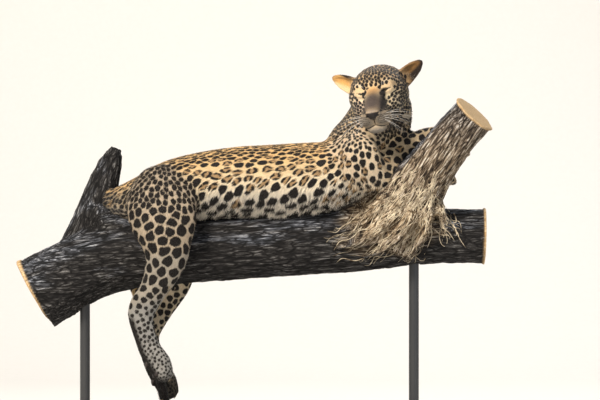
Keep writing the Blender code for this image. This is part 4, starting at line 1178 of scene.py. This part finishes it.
paw_pads = new_object("paw_pads", mesh)
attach(paw_pads, "root")

# The eyes: wet globes deep under nearly shut lids, with an amber ring round a small dark pupil.
# They are glass in a museum model, so they are smooth and sharply glossy.
EYE_SIDES = 32
IRIS_RADIUS = 0.0098
PUPIL_RADIUS = 0.0030
GAZE = unit(np.array((0.02, -1.0, 0.0)))

glass_eye, tree, shader = material("glass_eye", Roughness=0.06, IOR=1.5, Coat_Weight=0.6, Coat_Roughness=0.03)
gaze_in = add(tree, "ShaderNodeAttribute", {"attribute_name": "gaze"})
rings = add(tree, "ShaderNodeValToRGB", {}, {"Fac": gaze_in.outputs["Fac"]})
stops = rings.color_ramp.elements
stops[0].position, stops[0].color = 0.0, colour("0A0706")
stops[1].position, stops[1].color = 1.0, colour("2B211B")
for at, tint in ((0.19, "0A0706"), (0.22, "6B5A1E"), (0.40, "B09A3C"), (0.56, "6D6022"), (0.62, "1C1710")):
    stop = stops.new(at)
    stop.color = colour(tint)
tree.links.new(rings.outputs["Color"], shader.inputs["Base Color"])
for side, name in ((1, "eye_left"), (-1, "eye_right")):
    globe = bmesh.new()
    bmesh.ops.create_uvsphere(globe, u_segments=EYE_SIDES, v_segments=EYE_SIDES // 2, radius=EYE_RADIUS - 0.0003)
    mesh = bpy.data.meshes.new(name + "_globe")
    globe.to_mesh(mesh)
    globe.free()
    local = coordinates(mesh)
    forward = unit(local) @ unit(GAZE * (side, 1, 1))
    give(mesh, "gaze", "FLOAT", np.arccos(np.clip(forward, -1, 1)) * EYE_RADIUS / 0.0160)
    put_coordinates(mesh, out_of_head(local + EYE_AT * (side, 1, 1)))
    mesh.materials.append(glass_eye)
    mesh.polygons.foreach_set("use_smooth", np.ones(len(mesh.polygons), bool))
    made = new_object(name + "_globe", mesh)
    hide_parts(name)
    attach(made, "root")

# The perch: a cut length of a living tree's branch, the limb that rises from it and a broken stub, as one piece
# of wood. Its bark is weathered silver grey in long plates with dark furrows, worn to tan fibres at the fork.
# Painted light makes its upward faces more silver and the fork's upper front face pale, and painted shade keeps
# its undersides dark brown.
BARK_VOXEL = 0.0037
PLATE_WIDTH = 0.017
PLATE_SHRINK = 0.80
FIBRE_SHRINK = 0.93
FURROW_DEPTH = 0.0042
SWELL_DEPTH = 0.0040
JUNCTION_ROUNDS = 26
WOOD = (
    ("perch_branch", (1, 0, 0.07), (0.360, -0.030, 0.570)),
    ("perch_fork", (0.52, -0.36, 0.80), (0.360, -0.030, 0.570)),
    ("perch_stub", (0.30, 0.12, 1.0), (-0.465, 0.035, 0.500)),
)
ROOTS = (
    ((0.330, -0.078, 0.640, 0.026), (0.285, -0.084, 0.588, 0.017), (0.225, -0.082, 0.545, 0.010), (0.180, -0.078, 0.532, 0.004)),
    ((0.352, -0.094, 0.600, 0.022), (0.300, -0.098, 0.548, 0.015), (0.240, -0.090, 0.512, 0.009), (0.196, -0.086, 0.500, 0.004)),
    ((0.390, -0.104, 0.590, 0.024), (0.352, -0.104, 0.530, 0.017), (0.300, -0.090, 0.488, 0.010), (0.262, -0.078, 0.476, 0.004)),
    ((0.432, -0.100, 0.600, 0.024), (0.424, -0.100, 0.540, 0.018), (0.396, -0.086, 0.492, 0.011), (0.372, -0.070, 0.474, 0.004)),
    ((0.462, -0.082, 0.610, 0.020), (0.482, -0.078, 0.560, 0.014), (0.505, -0.068, 0.520, 0.008)),
    ((0.300, -0.020, 0.640, 0.022), (0.250, -0.030, 0.612, 0.014), (0.205, -0.040, 0.598, 0.006)),
    ((-0.430, 0.010, 0.590, 0.034), (-0.385, -0.012, 0.566, 0.030), (-0.345, -0.024, 0.556, 0.026), (-0.290, -0.030, 0.545, 0.020)),
)
SAWN_ENDS = (
    ((-0.585, 0.000, 0.385), (-0.104, 0.000, -0.050), 0.115),
    ((0.585, 0.000, 0.536), (0.117, 0.000, -0.001), 0.090),
    ((0.551, -0.150, 0.850), (0.057, -0.024, 0.064), 0.075),
)


def beads(rows):
    """Small balls along a tapering root, close enough to fuse into it."""
    form = bmesh.new()
    for start, end in zip(rows, rows[1:]):
        count = max(2, int((Vector(end[:3]) - Vector(start[:3])).length / 0.005))
        for i in range(count):
            x, y, z, radius = Vector(start).lerp(Vector(end), i / count)
            bmesh.ops.create_icosphere(form, subdivisions=2, radius=radius, matrix=Matrix.Translation((x, y, z)))
    mesh = bpy.data.meshes.new("root")
    form.to_mesh(mesh)
    form.free()
    return mesh


wood_names = [name for name, _, _ in WOOD]
mesh, wood_owner = merged_copy(wood_names, 0.0004)
wood_tree = BVHTree.FromPolygons(coordinates(mesh).tolist(), [tuple(p.vertices) for p in mesh.polygons])
together = bmesh.new()
together.from_mesh(mesh)
for rows in ROOTS:
    together.from_mesh(beads(rows))
together.to_mesh(mesh)
together.free()
perch = remeshed(new_object("perch_wood", mesh), BARK_VOXEL)
mesh = perch.data
points = coordinates(mesh)
wood_edges = neighbours_of(mesh)
wood_share = np.zeros((len(points), len(WOOD)))
wood_share[np.arange(len(points)), [wood_owner[wood_tree.find_nearest(p)[2]] for p in points.tolist()]] = 1
wood_share = spread(wood_share, 22, edges=wood_edges)
sawn = np.zeros(len(points))
ring = np.zeros(len(points))
for end, outward, reach in SAWN_ENDS:
    outward = unit(np.array(outward))
    away = points - np.array(end)
    depth = away @ outward
    radial = np.linalg.norm(away - depth[:, None] * outward, axis=1)
    here = ramp(depth, -0.0065, -0.0035) * (radial < reach)
    sawn = np.maximum(sawn, here)
    ring = np.where(here > 0, radial, ring)
at_junction = np.clip(4 * wood_share[:, 0] * (1 - wood_share[:, 0]), 0, 1)
at_junction = spread(at_junction, 10, edges=wood_edges)
points = spread(points, JUNCTION_ROUNDS, 0.6 * np.clip(1.4 * at_junction, 0.06, 1) * (1 - sawn), edges=wood_edges)
put_coordinates(mesh, points)
normals = unit(spread(normals_of(mesh), 3, edges=wood_edges))


def grain_places(points, shrink):
    """Places squeezed along the grain, so that a pattern on them is long in that direction."""
    first = np.array(WOOD[0][2])
    total = np.zeros_like(points)
    for number, (_, way, middle) in enumerate(WOOD):
        way = unit(np.array(way, float))
        squeeze = np.eye(3) - shrink * np.outer(way, way)
        trunk_way = unit(np.array(WOOD[0][1], float))
        trunk = np.eye(3) - shrink * np.outer(trunk_way, trunk_way)
        place = (points - np.array(middle)) @ squeeze + (np.array(middle) - first) @ trunk
        total += wood_share[:, number : number + 1] * place
    return total


grain_place = grain_places(points, PLATE_SHRINK)
wander = np.array([tuple(noise.noise_vector(22 * Vector(p))) for p in grain_place.tolist()])
wandered = grain_place + 0.011 * wander


def furrow(place):
    """How far a place is from the crack between two plates of bark, in plates."""
    gaps = noise.voronoi(place)[0]
    return gaps[1] - gaps[0]


plates = np.array([furrow(Vector(p) / PLATE_WIDTH) for p in wandered.tolist()])
small = np.array([furrow(Vector(p) / (0.42 * PLATE_WIDTH)) for p in wandered.tolist()])
swell = np.array([noise.fractal(Vector(p) * 13, 1.0, 2.0, 3) for p in (grain_place + 0.5).tolist()])
rough = np.array([noise.ridged_multi_fractal(Vector(p) * 60, 0.8, 2.2, 4, 1.0, 2.0) for p in wandered.tolist()])
relief = ramp(plates, 0.0, 0.26) * (0.70 + 0.30 * ramp(small, 0.0, 0.40))
relief = np.clip(0.50 * relief + 0.55 * ramp(rough, 0.5, 2.6), 0, 1)
off_flesh = ramp(np.array([flesh_tree.find_nearest(p)[3] for p in points.tolist()]), 0.004, 0.026)
sink = FURROW_DEPTH * (1 - relief) + SWELL_DEPTH * np.clip(0.5 - 0.6 * swell, 0, 1)
points = points - normals * (sink * (1 - sawn) * (0.10 + 0.90 * off_flesh))[:, None]
put_coordinates(mesh, points)
tilt = normals[:, 2]
base_of_fork = np.linalg.norm((points - (0.345, -0.085, 0.585)) / (0.165, 0.085, 0.090), axis=1)
worn = ramp(base_of_fork + 0.35 * swell, 1.15, 0.65)
# Painted light: the fork's upper face toward the front is painted pale, like the worn fibres at its foot.
sunlit = ramp(points[:, 2], 0.98, 0.70) * ramp(normals[:, 1] - 0.5 * normals[:, 0], 0.35, -0.25)
worn = np.maximum(worn, 0.72 * wood_share[:, 1] * sunlit)
give(mesh, "relief", "FLOAT", relief)
give(mesh, "worn", "FLOAT", worn)
give(mesh, "sawn", "FLOAT", sawn)
give(mesh, "ring", "FLOAT", ring)
# Silver grey plates, more on the fork limb; upward faces are more silver as painted light, and the undersides stay
# dark brown as painted shade.
silvered = 0.36 + 0.18 * tilt + 0.38 * wood_share[:, 1]
give(mesh, "silvered", "FLOAT", silvered)
layer = mesh.attributes.new("grain_place", "FLOAT_VECTOR", "POINT")
layer.data.foreach_set("vector", wandered.astype(np.float32).ravel())
fibre_place = grain_places(points, FIBRE_SHRINK) + 0.006 * wander
layer = mesh.attributes.new("fibre_place", "FLOAT_VECTOR", "POINT")
layer.data.foreach_set("vector", fibre_place.astype(np.float32).ravel())

bark, tree, shader = material("weathered_bark", Roughness=0.88, IOR=1.45, Specular_IOR_Level=0.25)
names = ("relief", "worn", "sawn", "ring", "silvered", "grain_place", "fibre_place")
fed = {n: add(tree, "ShaderNodeAttribute", {"attribute_name": n}) for n in names}
grain_in = fed["grain_place"].outputs["Vector"]
bend = add(tree, "ShaderNodeTexNoise", {"Scale": 75.0, "Detail": 3.0}, {"Vector": grain_in})
bent = add(tree, "ShaderNodeVectorMath", {"operation": "MULTIPLY_ADD", 1: (0.016, 0.016, 0.016)}, {0: bend.outputs["Color"], 2: grain_in})
bent_in = bent.outputs["Vector"]
plate = add(tree, "ShaderNodeTexVoronoi", {"feature": "DISTANCE_TO_EDGE", "Scale": 95.0}, {"Vector": bent_in})
flake = add(tree, "ShaderNodeTexVoronoi", {"feature": "DISTANCE_TO_EDGE", "Scale": 270.0}, {"Vector": bent_in})
fibre = add(tree, "ShaderNodeTexNoise", {"Scale": 190.0, "Detail": 6.0, "Roughness": 0.7}, {"Vector": fed["fibre_place"].outputs["Vector"]})
patchy = add(tree, "ShaderNodeTexNoise", {"Scale": 24.0, "Detail": 6.0, "Roughness": 0.66}, {"Vector": grain_in})
cracked = add(tree, "ShaderNodeMapRange", {"From Min": 0.01, "From Max": 0.14, "To Min": 0.15}, {"Value": plate.outputs["Distance"]})
flaked = add(
    tree, "ShaderNodeMapRange", {"From Min": 0.0, "From Max": 0.16, "To Min": 0.65}, {"Value": flake.outputs["Distance"]}
)
strand = add(tree, "ShaderNodeMapRange", {"From Min": 0.36, "From Max": 0.64, "To Min": 0.08}, {"Value": fibre.outputs[0]})
broken = add(tree, "ShaderNodeMath", {"operation": "MULTIPLY"}, {0: cracked.outputs[0], 1: flaked.outputs[0]})
height = add(tree, "ShaderNodeMath", {"operation": "MULTIPLY"}, {0: broken.outputs[0], 1: strand.outputs[0]})
sunken = add(tree, "ShaderNodeMapRange", {"From Min": 0.0, "From Max": 0.55, "To Min": 0.25}, {"Value": fed["relief"].outputs["Fac"]})
height = add(tree, "ShaderNodeMath", {"operation": "MULTIPLY"}, {0: height.outputs[0], 1: sunken.outputs[0]})


def tints(fac, rows):
    """A colour ramp through the rows of place and sRGB value."""
    made = add(tree, "ShaderNodeValToRGB", {}, {"Fac": fac})
    stops = made.color_ramp.elements
    stops[0].position, stops[1].position = rows[0][0], rows[-1][0]
    stops[0].color, stops[1].color = colour(rows[0][1]), colour(rows[-1][1])
    for at, tint in rows[1:-1]:
        stop = stops.new(at)
        stop.color = colour(tint)
    return made


def blend(fac, low, high):
    return add(tree, "ShaderNodeMix", {"data_type": "RGBA"}, {0: fac, 6: low, 7: high}).outputs[2]


silver = tints(height.outputs[0], ((0.05, "0E0F10"), (0.22, "33353A"), (0.46, "6D7077"), (0.80, "C6C9CF")))
brown = tints(height.outputs[0], ((0.06, "0B0A0A"), (0.28, "262423"), (0.58, "4A4846"), (0.92, "8B8986")))
frayed = tints(height.outputs[0], ((0.05, "1F1812"), (0.20, "6E5C46"), (0.45, "B7A284"), (0.80, "F0E4CE")))
# Silver plates over brown bark, mixed by the silver and the painted top light.
top_light_silver_mix = add(tree, "ShaderNodeMapRange", {"From Min": -0.08, "From Max": 0.09, "To Min": 0.02}, {
    "Value": add(tree, "ShaderNodeMath", {"operation": "SUBTRACT"}, {0: fed["silvered"].outputs["Fac"], 1: patchy.outputs[0]}).outputs[0]
})
barked = blend(top_light_silver_mix.outputs[0], brown.outputs[0], silver.outputs[0])
bark_wear_and_sunlight = blend(fed["worn"].outputs["Fac"], barked, frayed.outputs[0])
ripple = add(tree, "ShaderNodeMath", {"operation": "MULTIPLY_ADD", 1: 380.0}, {0: fed["ring"].outputs["Fac"], 2: patchy.outputs[0]})
rings = add(tree, "ShaderNodeMath", {"operation": "FRACT"}, {0: ripple.outputs[0]})
sawn_wood = tints(rings.outputs[0], ((0.0, "D6BD95"), (1.0, "AD8A5E")))
finished = blend(fed["sawn"].outputs["Fac"], bark_wear_and_sunlight, sawn_wood.outputs[0])
bark_bump = add(tree, "ShaderNodeBump", {"Strength": 1.0, "Distance": 0.0030}, {"Height": height.outputs[0]})
tree.links.new(finished, shader.inputs["Base Color"])
tree.links.new(bark_bump.outputs["Normal"], shader.inputs["Normal"])
mesh.materials.append(bark)
mesh.polygons.foreach_set("use_smooth", np.ones(len(mesh.polygons), bool))
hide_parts(*wood_names)
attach(perch, "root")

# The rootlets at the foot of the fork: a mat of dry straw-coloured strands, as thick as string, that cross one
# another down the worn wood and fray out along the branch. Some ends have sprung loose in curls.
ROOTLETS = 190
ROOTLET_RINGS = 12
ROOTLET_RADIUS = (0.0007, 0.0017)
ROOTLET_SEED = 5
bark_tree = BVHTree.FromPolygons(coordinates(perch.data).tolist(), [tuple(p.vertices) for p in perch.data.polygons])
chance = np.random.default_rng(ROOTLET_SEED)
lines = []
for number in range(ROOTLETS):
    guide = np.array(ROOTS[number % 5])[:, :3]
    first = chance.uniform(-0.55, 0.62)
    along = np.linspace(first, first + chance.uniform(0.28, 0.55), ROOTLET_RINGS) * (len(guide) - 1)
    steps = np.clip(np.floor(along).astype(int), 0, len(guide) - 2)
    line = guide[steps] + (along - steps)[:, None] * (guide[steps + 1] - guide[steps])
    phase = chance.uniform(0, 2 * math.pi, 3)
    t = np.linspace(0, 1, ROOTLET_RINGS)
    weave = np.stack([np.sin(5.0 * t + phase[0]), np.zeros_like(t), np.sin(6.5 * t + phase[1])], axis=1)
    swing = math.tan(chance.normal(0, 0.22))
    line = line + (line - line.mean(axis=0))[:, [2, 1, 0]] * (-swing, 0, swing)
    line = line + chance.normal(0, 0.017, 3) * (1, 0.2, 1) + 0.0055 * weave
    radius = chance.uniform(*ROOTLET_RADIUS)
    loose = ramp(t, 0.65, 1.0) * (chance.random() < 0.22)
    laid = []
    for point, free in zip(line, loose):
        hit = bark_tree.ray_cast(Vector((point[0], -0.40, point[2])), Vector((0, 1, 0)))
        if hit[0] is None:
            hit = bark_tree.find_nearest(Vector(point))
        spring = 0.011 * free * (0.6 + 0.4 * math.sin(7 * free + phase[2]))
        laid.append(np.array(tuple(hit[0] + hit[1] * (0.25 * radius + spring))) - (0, 0, 0.006 * free))
    lines.append(np.array(laid))
lines = np.array(lines)
lines[:, 1:-1] = 0.25 * lines[:, :-2] + 0.5 * lines[:, 1:-1] + 0.25 * lines[:, 2:]
girth = chance.uniform(*ROOTLET_RADIUS, ROOTLETS)[:, None] * (1 - 0.75 * np.linspace(0, 1, ROOTLET_RINGS) ** 2)
straw, tree, shader = material("dry_rootlet", Roughness=0.8, IOR=1.45, Specular_IOR_Level=0.25)
place = add(tree, "ShaderNodeTexCoord", {})
dryness = add(tree, "ShaderNodeTexNoise", {"Scale": 38.0, "Detail": 5.0, "Roughness": 0.7}, {"Vector": place.outputs["Object"]})
straw_tint = add(tree, "ShaderNodeValToRGB", {}, {"Fac": dryness.outputs[0]})
straw_tint.color_ramp.elements[0].position = 0.36
straw_tint.color_ramp.elements[0].color = colour("5A4936")
straw_tint.color_ramp.elements[1].position = 0.66
straw_tint.color_ramp.elements[1].color = colour("E6D8BC")
straw_bump = add(tree, "ShaderNodeBump", {"Strength": 0.4, "Distance": 0.0004}, {"Height": dryness.outputs[0]})
tree.links.new(straw_tint.outputs[0], shader.inputs["Base Color"])
tree.links.new(straw_bump.outputs["Normal"], shader.inputs["Normal"])
mesh = tubes("rootlets", lines, girth)
strip_map(mesh, ROOTLET_RINGS, len(lines))
mesh.materials.append(straw)
rootlets = new_object("rootlets", mesh)
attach(rootlets, "root")

# The display stand: a flat fibreboard base sprayed in satin charcoal paint, and two steel rods in the same paint.
satin_paint, tree, shader = material("satin_charcoal_paint", Roughness=0.42, IOR=1.5, Coat_Weight=0.15)
place = add(tree, "ShaderNodeTexCoord", {})
orange_peel = add(tree, "ShaderNodeTexNoise", {"Scale": 420.0, "Detail": 2.0}, {"Vector": place.outputs["Object"]})
paint_tint = add(tree, "ShaderNodeValToRGB", {}, {"Fac": orange_peel.outputs[0]})
paint_tint.color_ramp.elements[0].color = colour("242526")
paint_tint.color_ramp.elements[1].color = colour("2E2F31")
paint_bump = add(tree, "ShaderNodeBump", {"Strength": 0.15, "Distance": 0.0003}, {"Height": orange_peel.outputs[0]})
tree.links.new(paint_tint.outputs[0], shader.inputs["Base Color"])
tree.links.new(paint_bump.outputs["Normal"], shader.inputs["Normal"])
for name in ("stand_base", "stand_rod_1", "stand_rod_2"):
    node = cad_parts[name]
    node.data.materials.clear()
    node.data.materials.append(satin_paint)

# A turned steel flange holds the foot of each rod to the base, painted with it, with three countersunk screws.
ROD_X = (-0.455, 0.400)
BASE_TOP = 0.020
FLANGE_RADIUS = 0.030
FLANGE_THICK = 0.004
FLANGE_SIDES = 64
SCREW_CIRCLE = 0.0222
SCREWS = 3
SCREW_HEAD = 0.0038


def turned(name, profile, sides, at):
    """A closed solid turned about an upright axis, from radius and height pairs that start and end on the axis."""
    form = bmesh.new()
    rings = [[form.verts.new((at[0], at[1], at[2] + profile[0][1]))]]
    for radius, height in profile[1:-1]:
        turn = [2 * math.pi * k / sides for k in range(sides)]
        rings.append([form.verts.new((at[0] + radius * math.cos(a), at[1] + radius * math.sin(a), at[2] + height)) for a in turn])
    rings.append([form.verts.new((at[0], at[1], at[2] + profile[-1][1]))])
    for low, high in zip(rings, rings[1:]):
        for k in range(sides):
            corners = [low[k % len(low)], low[(k + 1) % len(low)], high[(k + 1) % len(high)], high[k % len(high)]]
            form.faces.new(list(dict.fromkeys(corners)))
    bmesh.ops.recalc_face_normals(form, faces=form.faces)
    mesh = bpy.data.meshes.new(name)
    form.to_mesh(mesh)
    form.free()
    mesh.polygons.foreach_set("use_smooth", np.ones(len(mesh.polygons), bool))
    mesh.set_sharp_from_angle(angle=math.radians(35))
    return new_object(name, mesh)


zinc, tree, shader = material("zinc_plated_steel", Metallic=1.0, Roughness=0.34)
place = add(tree, "ShaderNodeTexCoord", {})
spangle = add(tree, "ShaderNodeTexNoise", {"Scale": 900.0, "Detail": 2.0}, {"Vector": place.outputs["Object"]})
zinc_tint = add(tree, "ShaderNodeValToRGB", {}, {"Fac": spangle.outputs[0]})
zinc_tint.color_ramp.elements[0].color = colour("8E9092")
zinc_tint.color_ramp.elements[1].color = colour("B9BBBD")
tree.links.new(zinc_tint.outputs[0], shader.inputs["Base Color"])


def screw_ring_tree():
    """Countersunk screw heads, evenly round a circle."""
    group = bpy.data.node_groups.new("screw_ring", "GeometryNodeTree")
    group.interface.new_socket("Geometry", in_out="INPUT", socket_type="NodeSocketGeometry")
    group.interface.new_socket("Screws", in_out="INPUT", socket_type="NodeSocketInt")
    group.interface.new_socket("Circle Radius", in_out="INPUT", socket_type="NodeSocketFloat")
    group.interface.new_socket("Head Radius", in_out="INPUT", socket_type="NodeSocketFloat")
    group.interface.new_socket("Steel", in_out="INPUT", socket_type="NodeSocketMaterial")
    group.interface.new_socket("Geometry", in_out="OUTPUT", socket_type="NodeSocketGeometry")
    given = group.nodes.new("NodeGroupInput").outputs
    circle = add(group, "GeometryNodeMeshCircle", {}, {"Vertices": given["Screws"], "Radius": given["Circle Radius"]})
    bottom = add(group, "ShaderNodeMath", {"operation": "MULTIPLY", 1: 0.82}, {0: given["Head Radius"]})
    head = add(
        group,
        "GeometryNodeMeshCone",
        {"Vertices": 32, "Depth": 0.0012},
        {"Radius Top": bottom.outputs[0], "Radius Bottom": given["Head Radius"]},
    )
    heads = add(group, "GeometryNodeInstanceOnPoints", {}, {"Points": circle.outputs["Mesh"], "Instance": head.outputs["Mesh"]})
    solid = add(group, "GeometryNodeRealizeInstances", {}, {"Geometry": heads.outputs["Instances"]})
    plated = add(group, "GeometryNodeSetMaterial", {}, {"Geometry": solid.outputs["Geometry"], "Material": given["Steel"]})
    result = group.nodes.new("NodeGroupOutput")
    group.links.new(plated.outputs["Geometry"], result.inputs["Geometry"])
    return group


screw_tree = screw_ring_tree()
sockets = {item.name: item.identifier for item in screw_tree.interface.items_tree if item.in_out == "INPUT"}
for number, x in enumerate(ROD_X):
    rim = (
        (0, 0),
        (FLANGE_RADIUS, 0),
        (FLANGE_RADIUS, FLANGE_THICK - 0.0008),
        (FLANGE_RADIUS - 0.0008, FLANGE_THICK),
        (0.0165, FLANGE_THICK),
        (0.0150, FLANGE_THICK + 0.0090),
        (0.0140, FLANGE_THICK + 0.0100),
        (0, FLANGE_THICK + 0.0100),
    )
    flange = turned(f"stand_flange_{number + 1}", rim, FLANGE_SIDES, (x, 0, BASE_TOP))
    flange.data.materials.append(satin_paint)
    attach(flange, "root")
    screws = new_object(f"stand_screws_{number + 1}", bpy.data.meshes.new("screws"))
    ring = screws.modifiers.new("screw_ring", "NODES")
    ring.node_group = screw_tree
    ring[sockets["Screws"]] = SCREWS
    ring[sockets["Circle Radius"]] = SCREW_CIRCLE
    ring[sockets["Head Radius"]] = SCREW_HEAD
    ring[sockets["Steel"]] = zinc
    made_plain(screws)
    put_coordinates(screws.data, coordinates(screws.data) + (x, 0, BASE_TOP + FLANGE_THICK - 0.0003))
    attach(screws, "root")

# The studio: a pale seamless paper sweep, one large soft light high on the left, a weaker one on the right and
# an even pale surround. The camera looks level at the photograph's framing.
SWEEP_TINT = "E9E7E3"
CAMERA_DISTANCE = 9.0
FRAME_WIDTH = 1.56
FRAME_MIDDLE = (0.104, 0.6292)

paper, tree, shader = material("matt_paper", Roughness=0.95, IOR=1.45, Specular_IOR_Level=0.1)
place = add(tree, "ShaderNodeTexCoord", {})
fibre = add(tree, "ShaderNodeTexNoise", {"Scale": 60.0, "Detail": 4.0}, {"Vector": place.outputs["Object"]})
paper_tint = add(tree, "ShaderNodeMix", {"data_type": "RGBA", 6: colour("E5E3DE"), 7: colour(SWEEP_TINT)}, {0: fibre.outputs[0]})
tree.links.new(paper_tint.outputs[2], shader.inputs["Base Color"])
profile = [(-7.0, 0.0), (3.0, 0.0)]
profile += [(3.0 + 1.5 * math.sin(a), 1.5 - 1.5 * math.cos(a)) for a in np.linspace(0.1, math.pi / 2, 12)]
profile.append((4.5, 7.0))
rows = np.array([[(x, y, z - 0.0005) for x in (-9.0, 9.0)] for y, z in profile])
count = len(profile)
strips = np.array([(2 * i, 2 * i + 1, 2 * i + 3, 2 * i + 2) for i in range(count - 1)])
sweep_mesh = mesh_of("studio_sweep", rows.reshape(-1, 3), strips)
sweep_mesh.polygons.foreach_set("use_smooth", np.ones(len(sweep_mesh.polygons), bool))
sweep_mesh.materials.append(paper)
sweep = new_object("studio_sweep", sweep_mesh)
for name, place_at, aim, size, power, tint in (
    ("key_softbox", (-2.4, -4.0, 4.2), (0, 0, 0.6), 1.2, 560, "FFF5E8"),
    ("fill_softbox", (4.2, -3.6, 1.8), (0.1, 0, 0.6), 2.6, 45, "EAF1FF"),
    ("rim_softbox", (1.5, 3.0, 3.6), (0, 0, 0.7), 1.6, 70, "FFFFFF"),
):
    data = bpy.data.lights.new(name, "AREA")
    data.size = size
    data.energy = power
    data.color = colour(tint)[:3]
    lamp = bpy.data.objects.new(name, data)
    lamp.location = place_at
    lamp.rotation_euler = (Vector(aim) - Vector(place_at)).to_track_quat("-Z", "Y").to_euler()
    bpy.context.scene.collection.objects.link(lamp)
world = bpy.data.worlds.new("pale_surround")
world.use_nodes = True
world.node_tree.nodes["Background"].inputs["Color"].default_value = colour("E9EDF2")
world.node_tree.nodes["Background"].inputs["Strength"].default_value = 0.45
bpy.context.scene.world = world
bpy.context.scene.view_settings.view_transform = "Standard"

camera_data = bpy.data.cameras.new("camera")
camera_data.sensor_width = 36
camera_data.lens = 36 * CAMERA_DISTANCE / FRAME_WIDTH
camera = bpy.data.objects.new("camera", camera_data)
camera.location = (FRAME_MIDDLE[0], -CAMERA_DISTANCE, FRAME_MIDDLE[1])
camera.rotation_euler = (math.pi / 2, 0, 0)
bpy.context.scene.collection.objects.link(camera)
bpy.context.scene.camera = camera
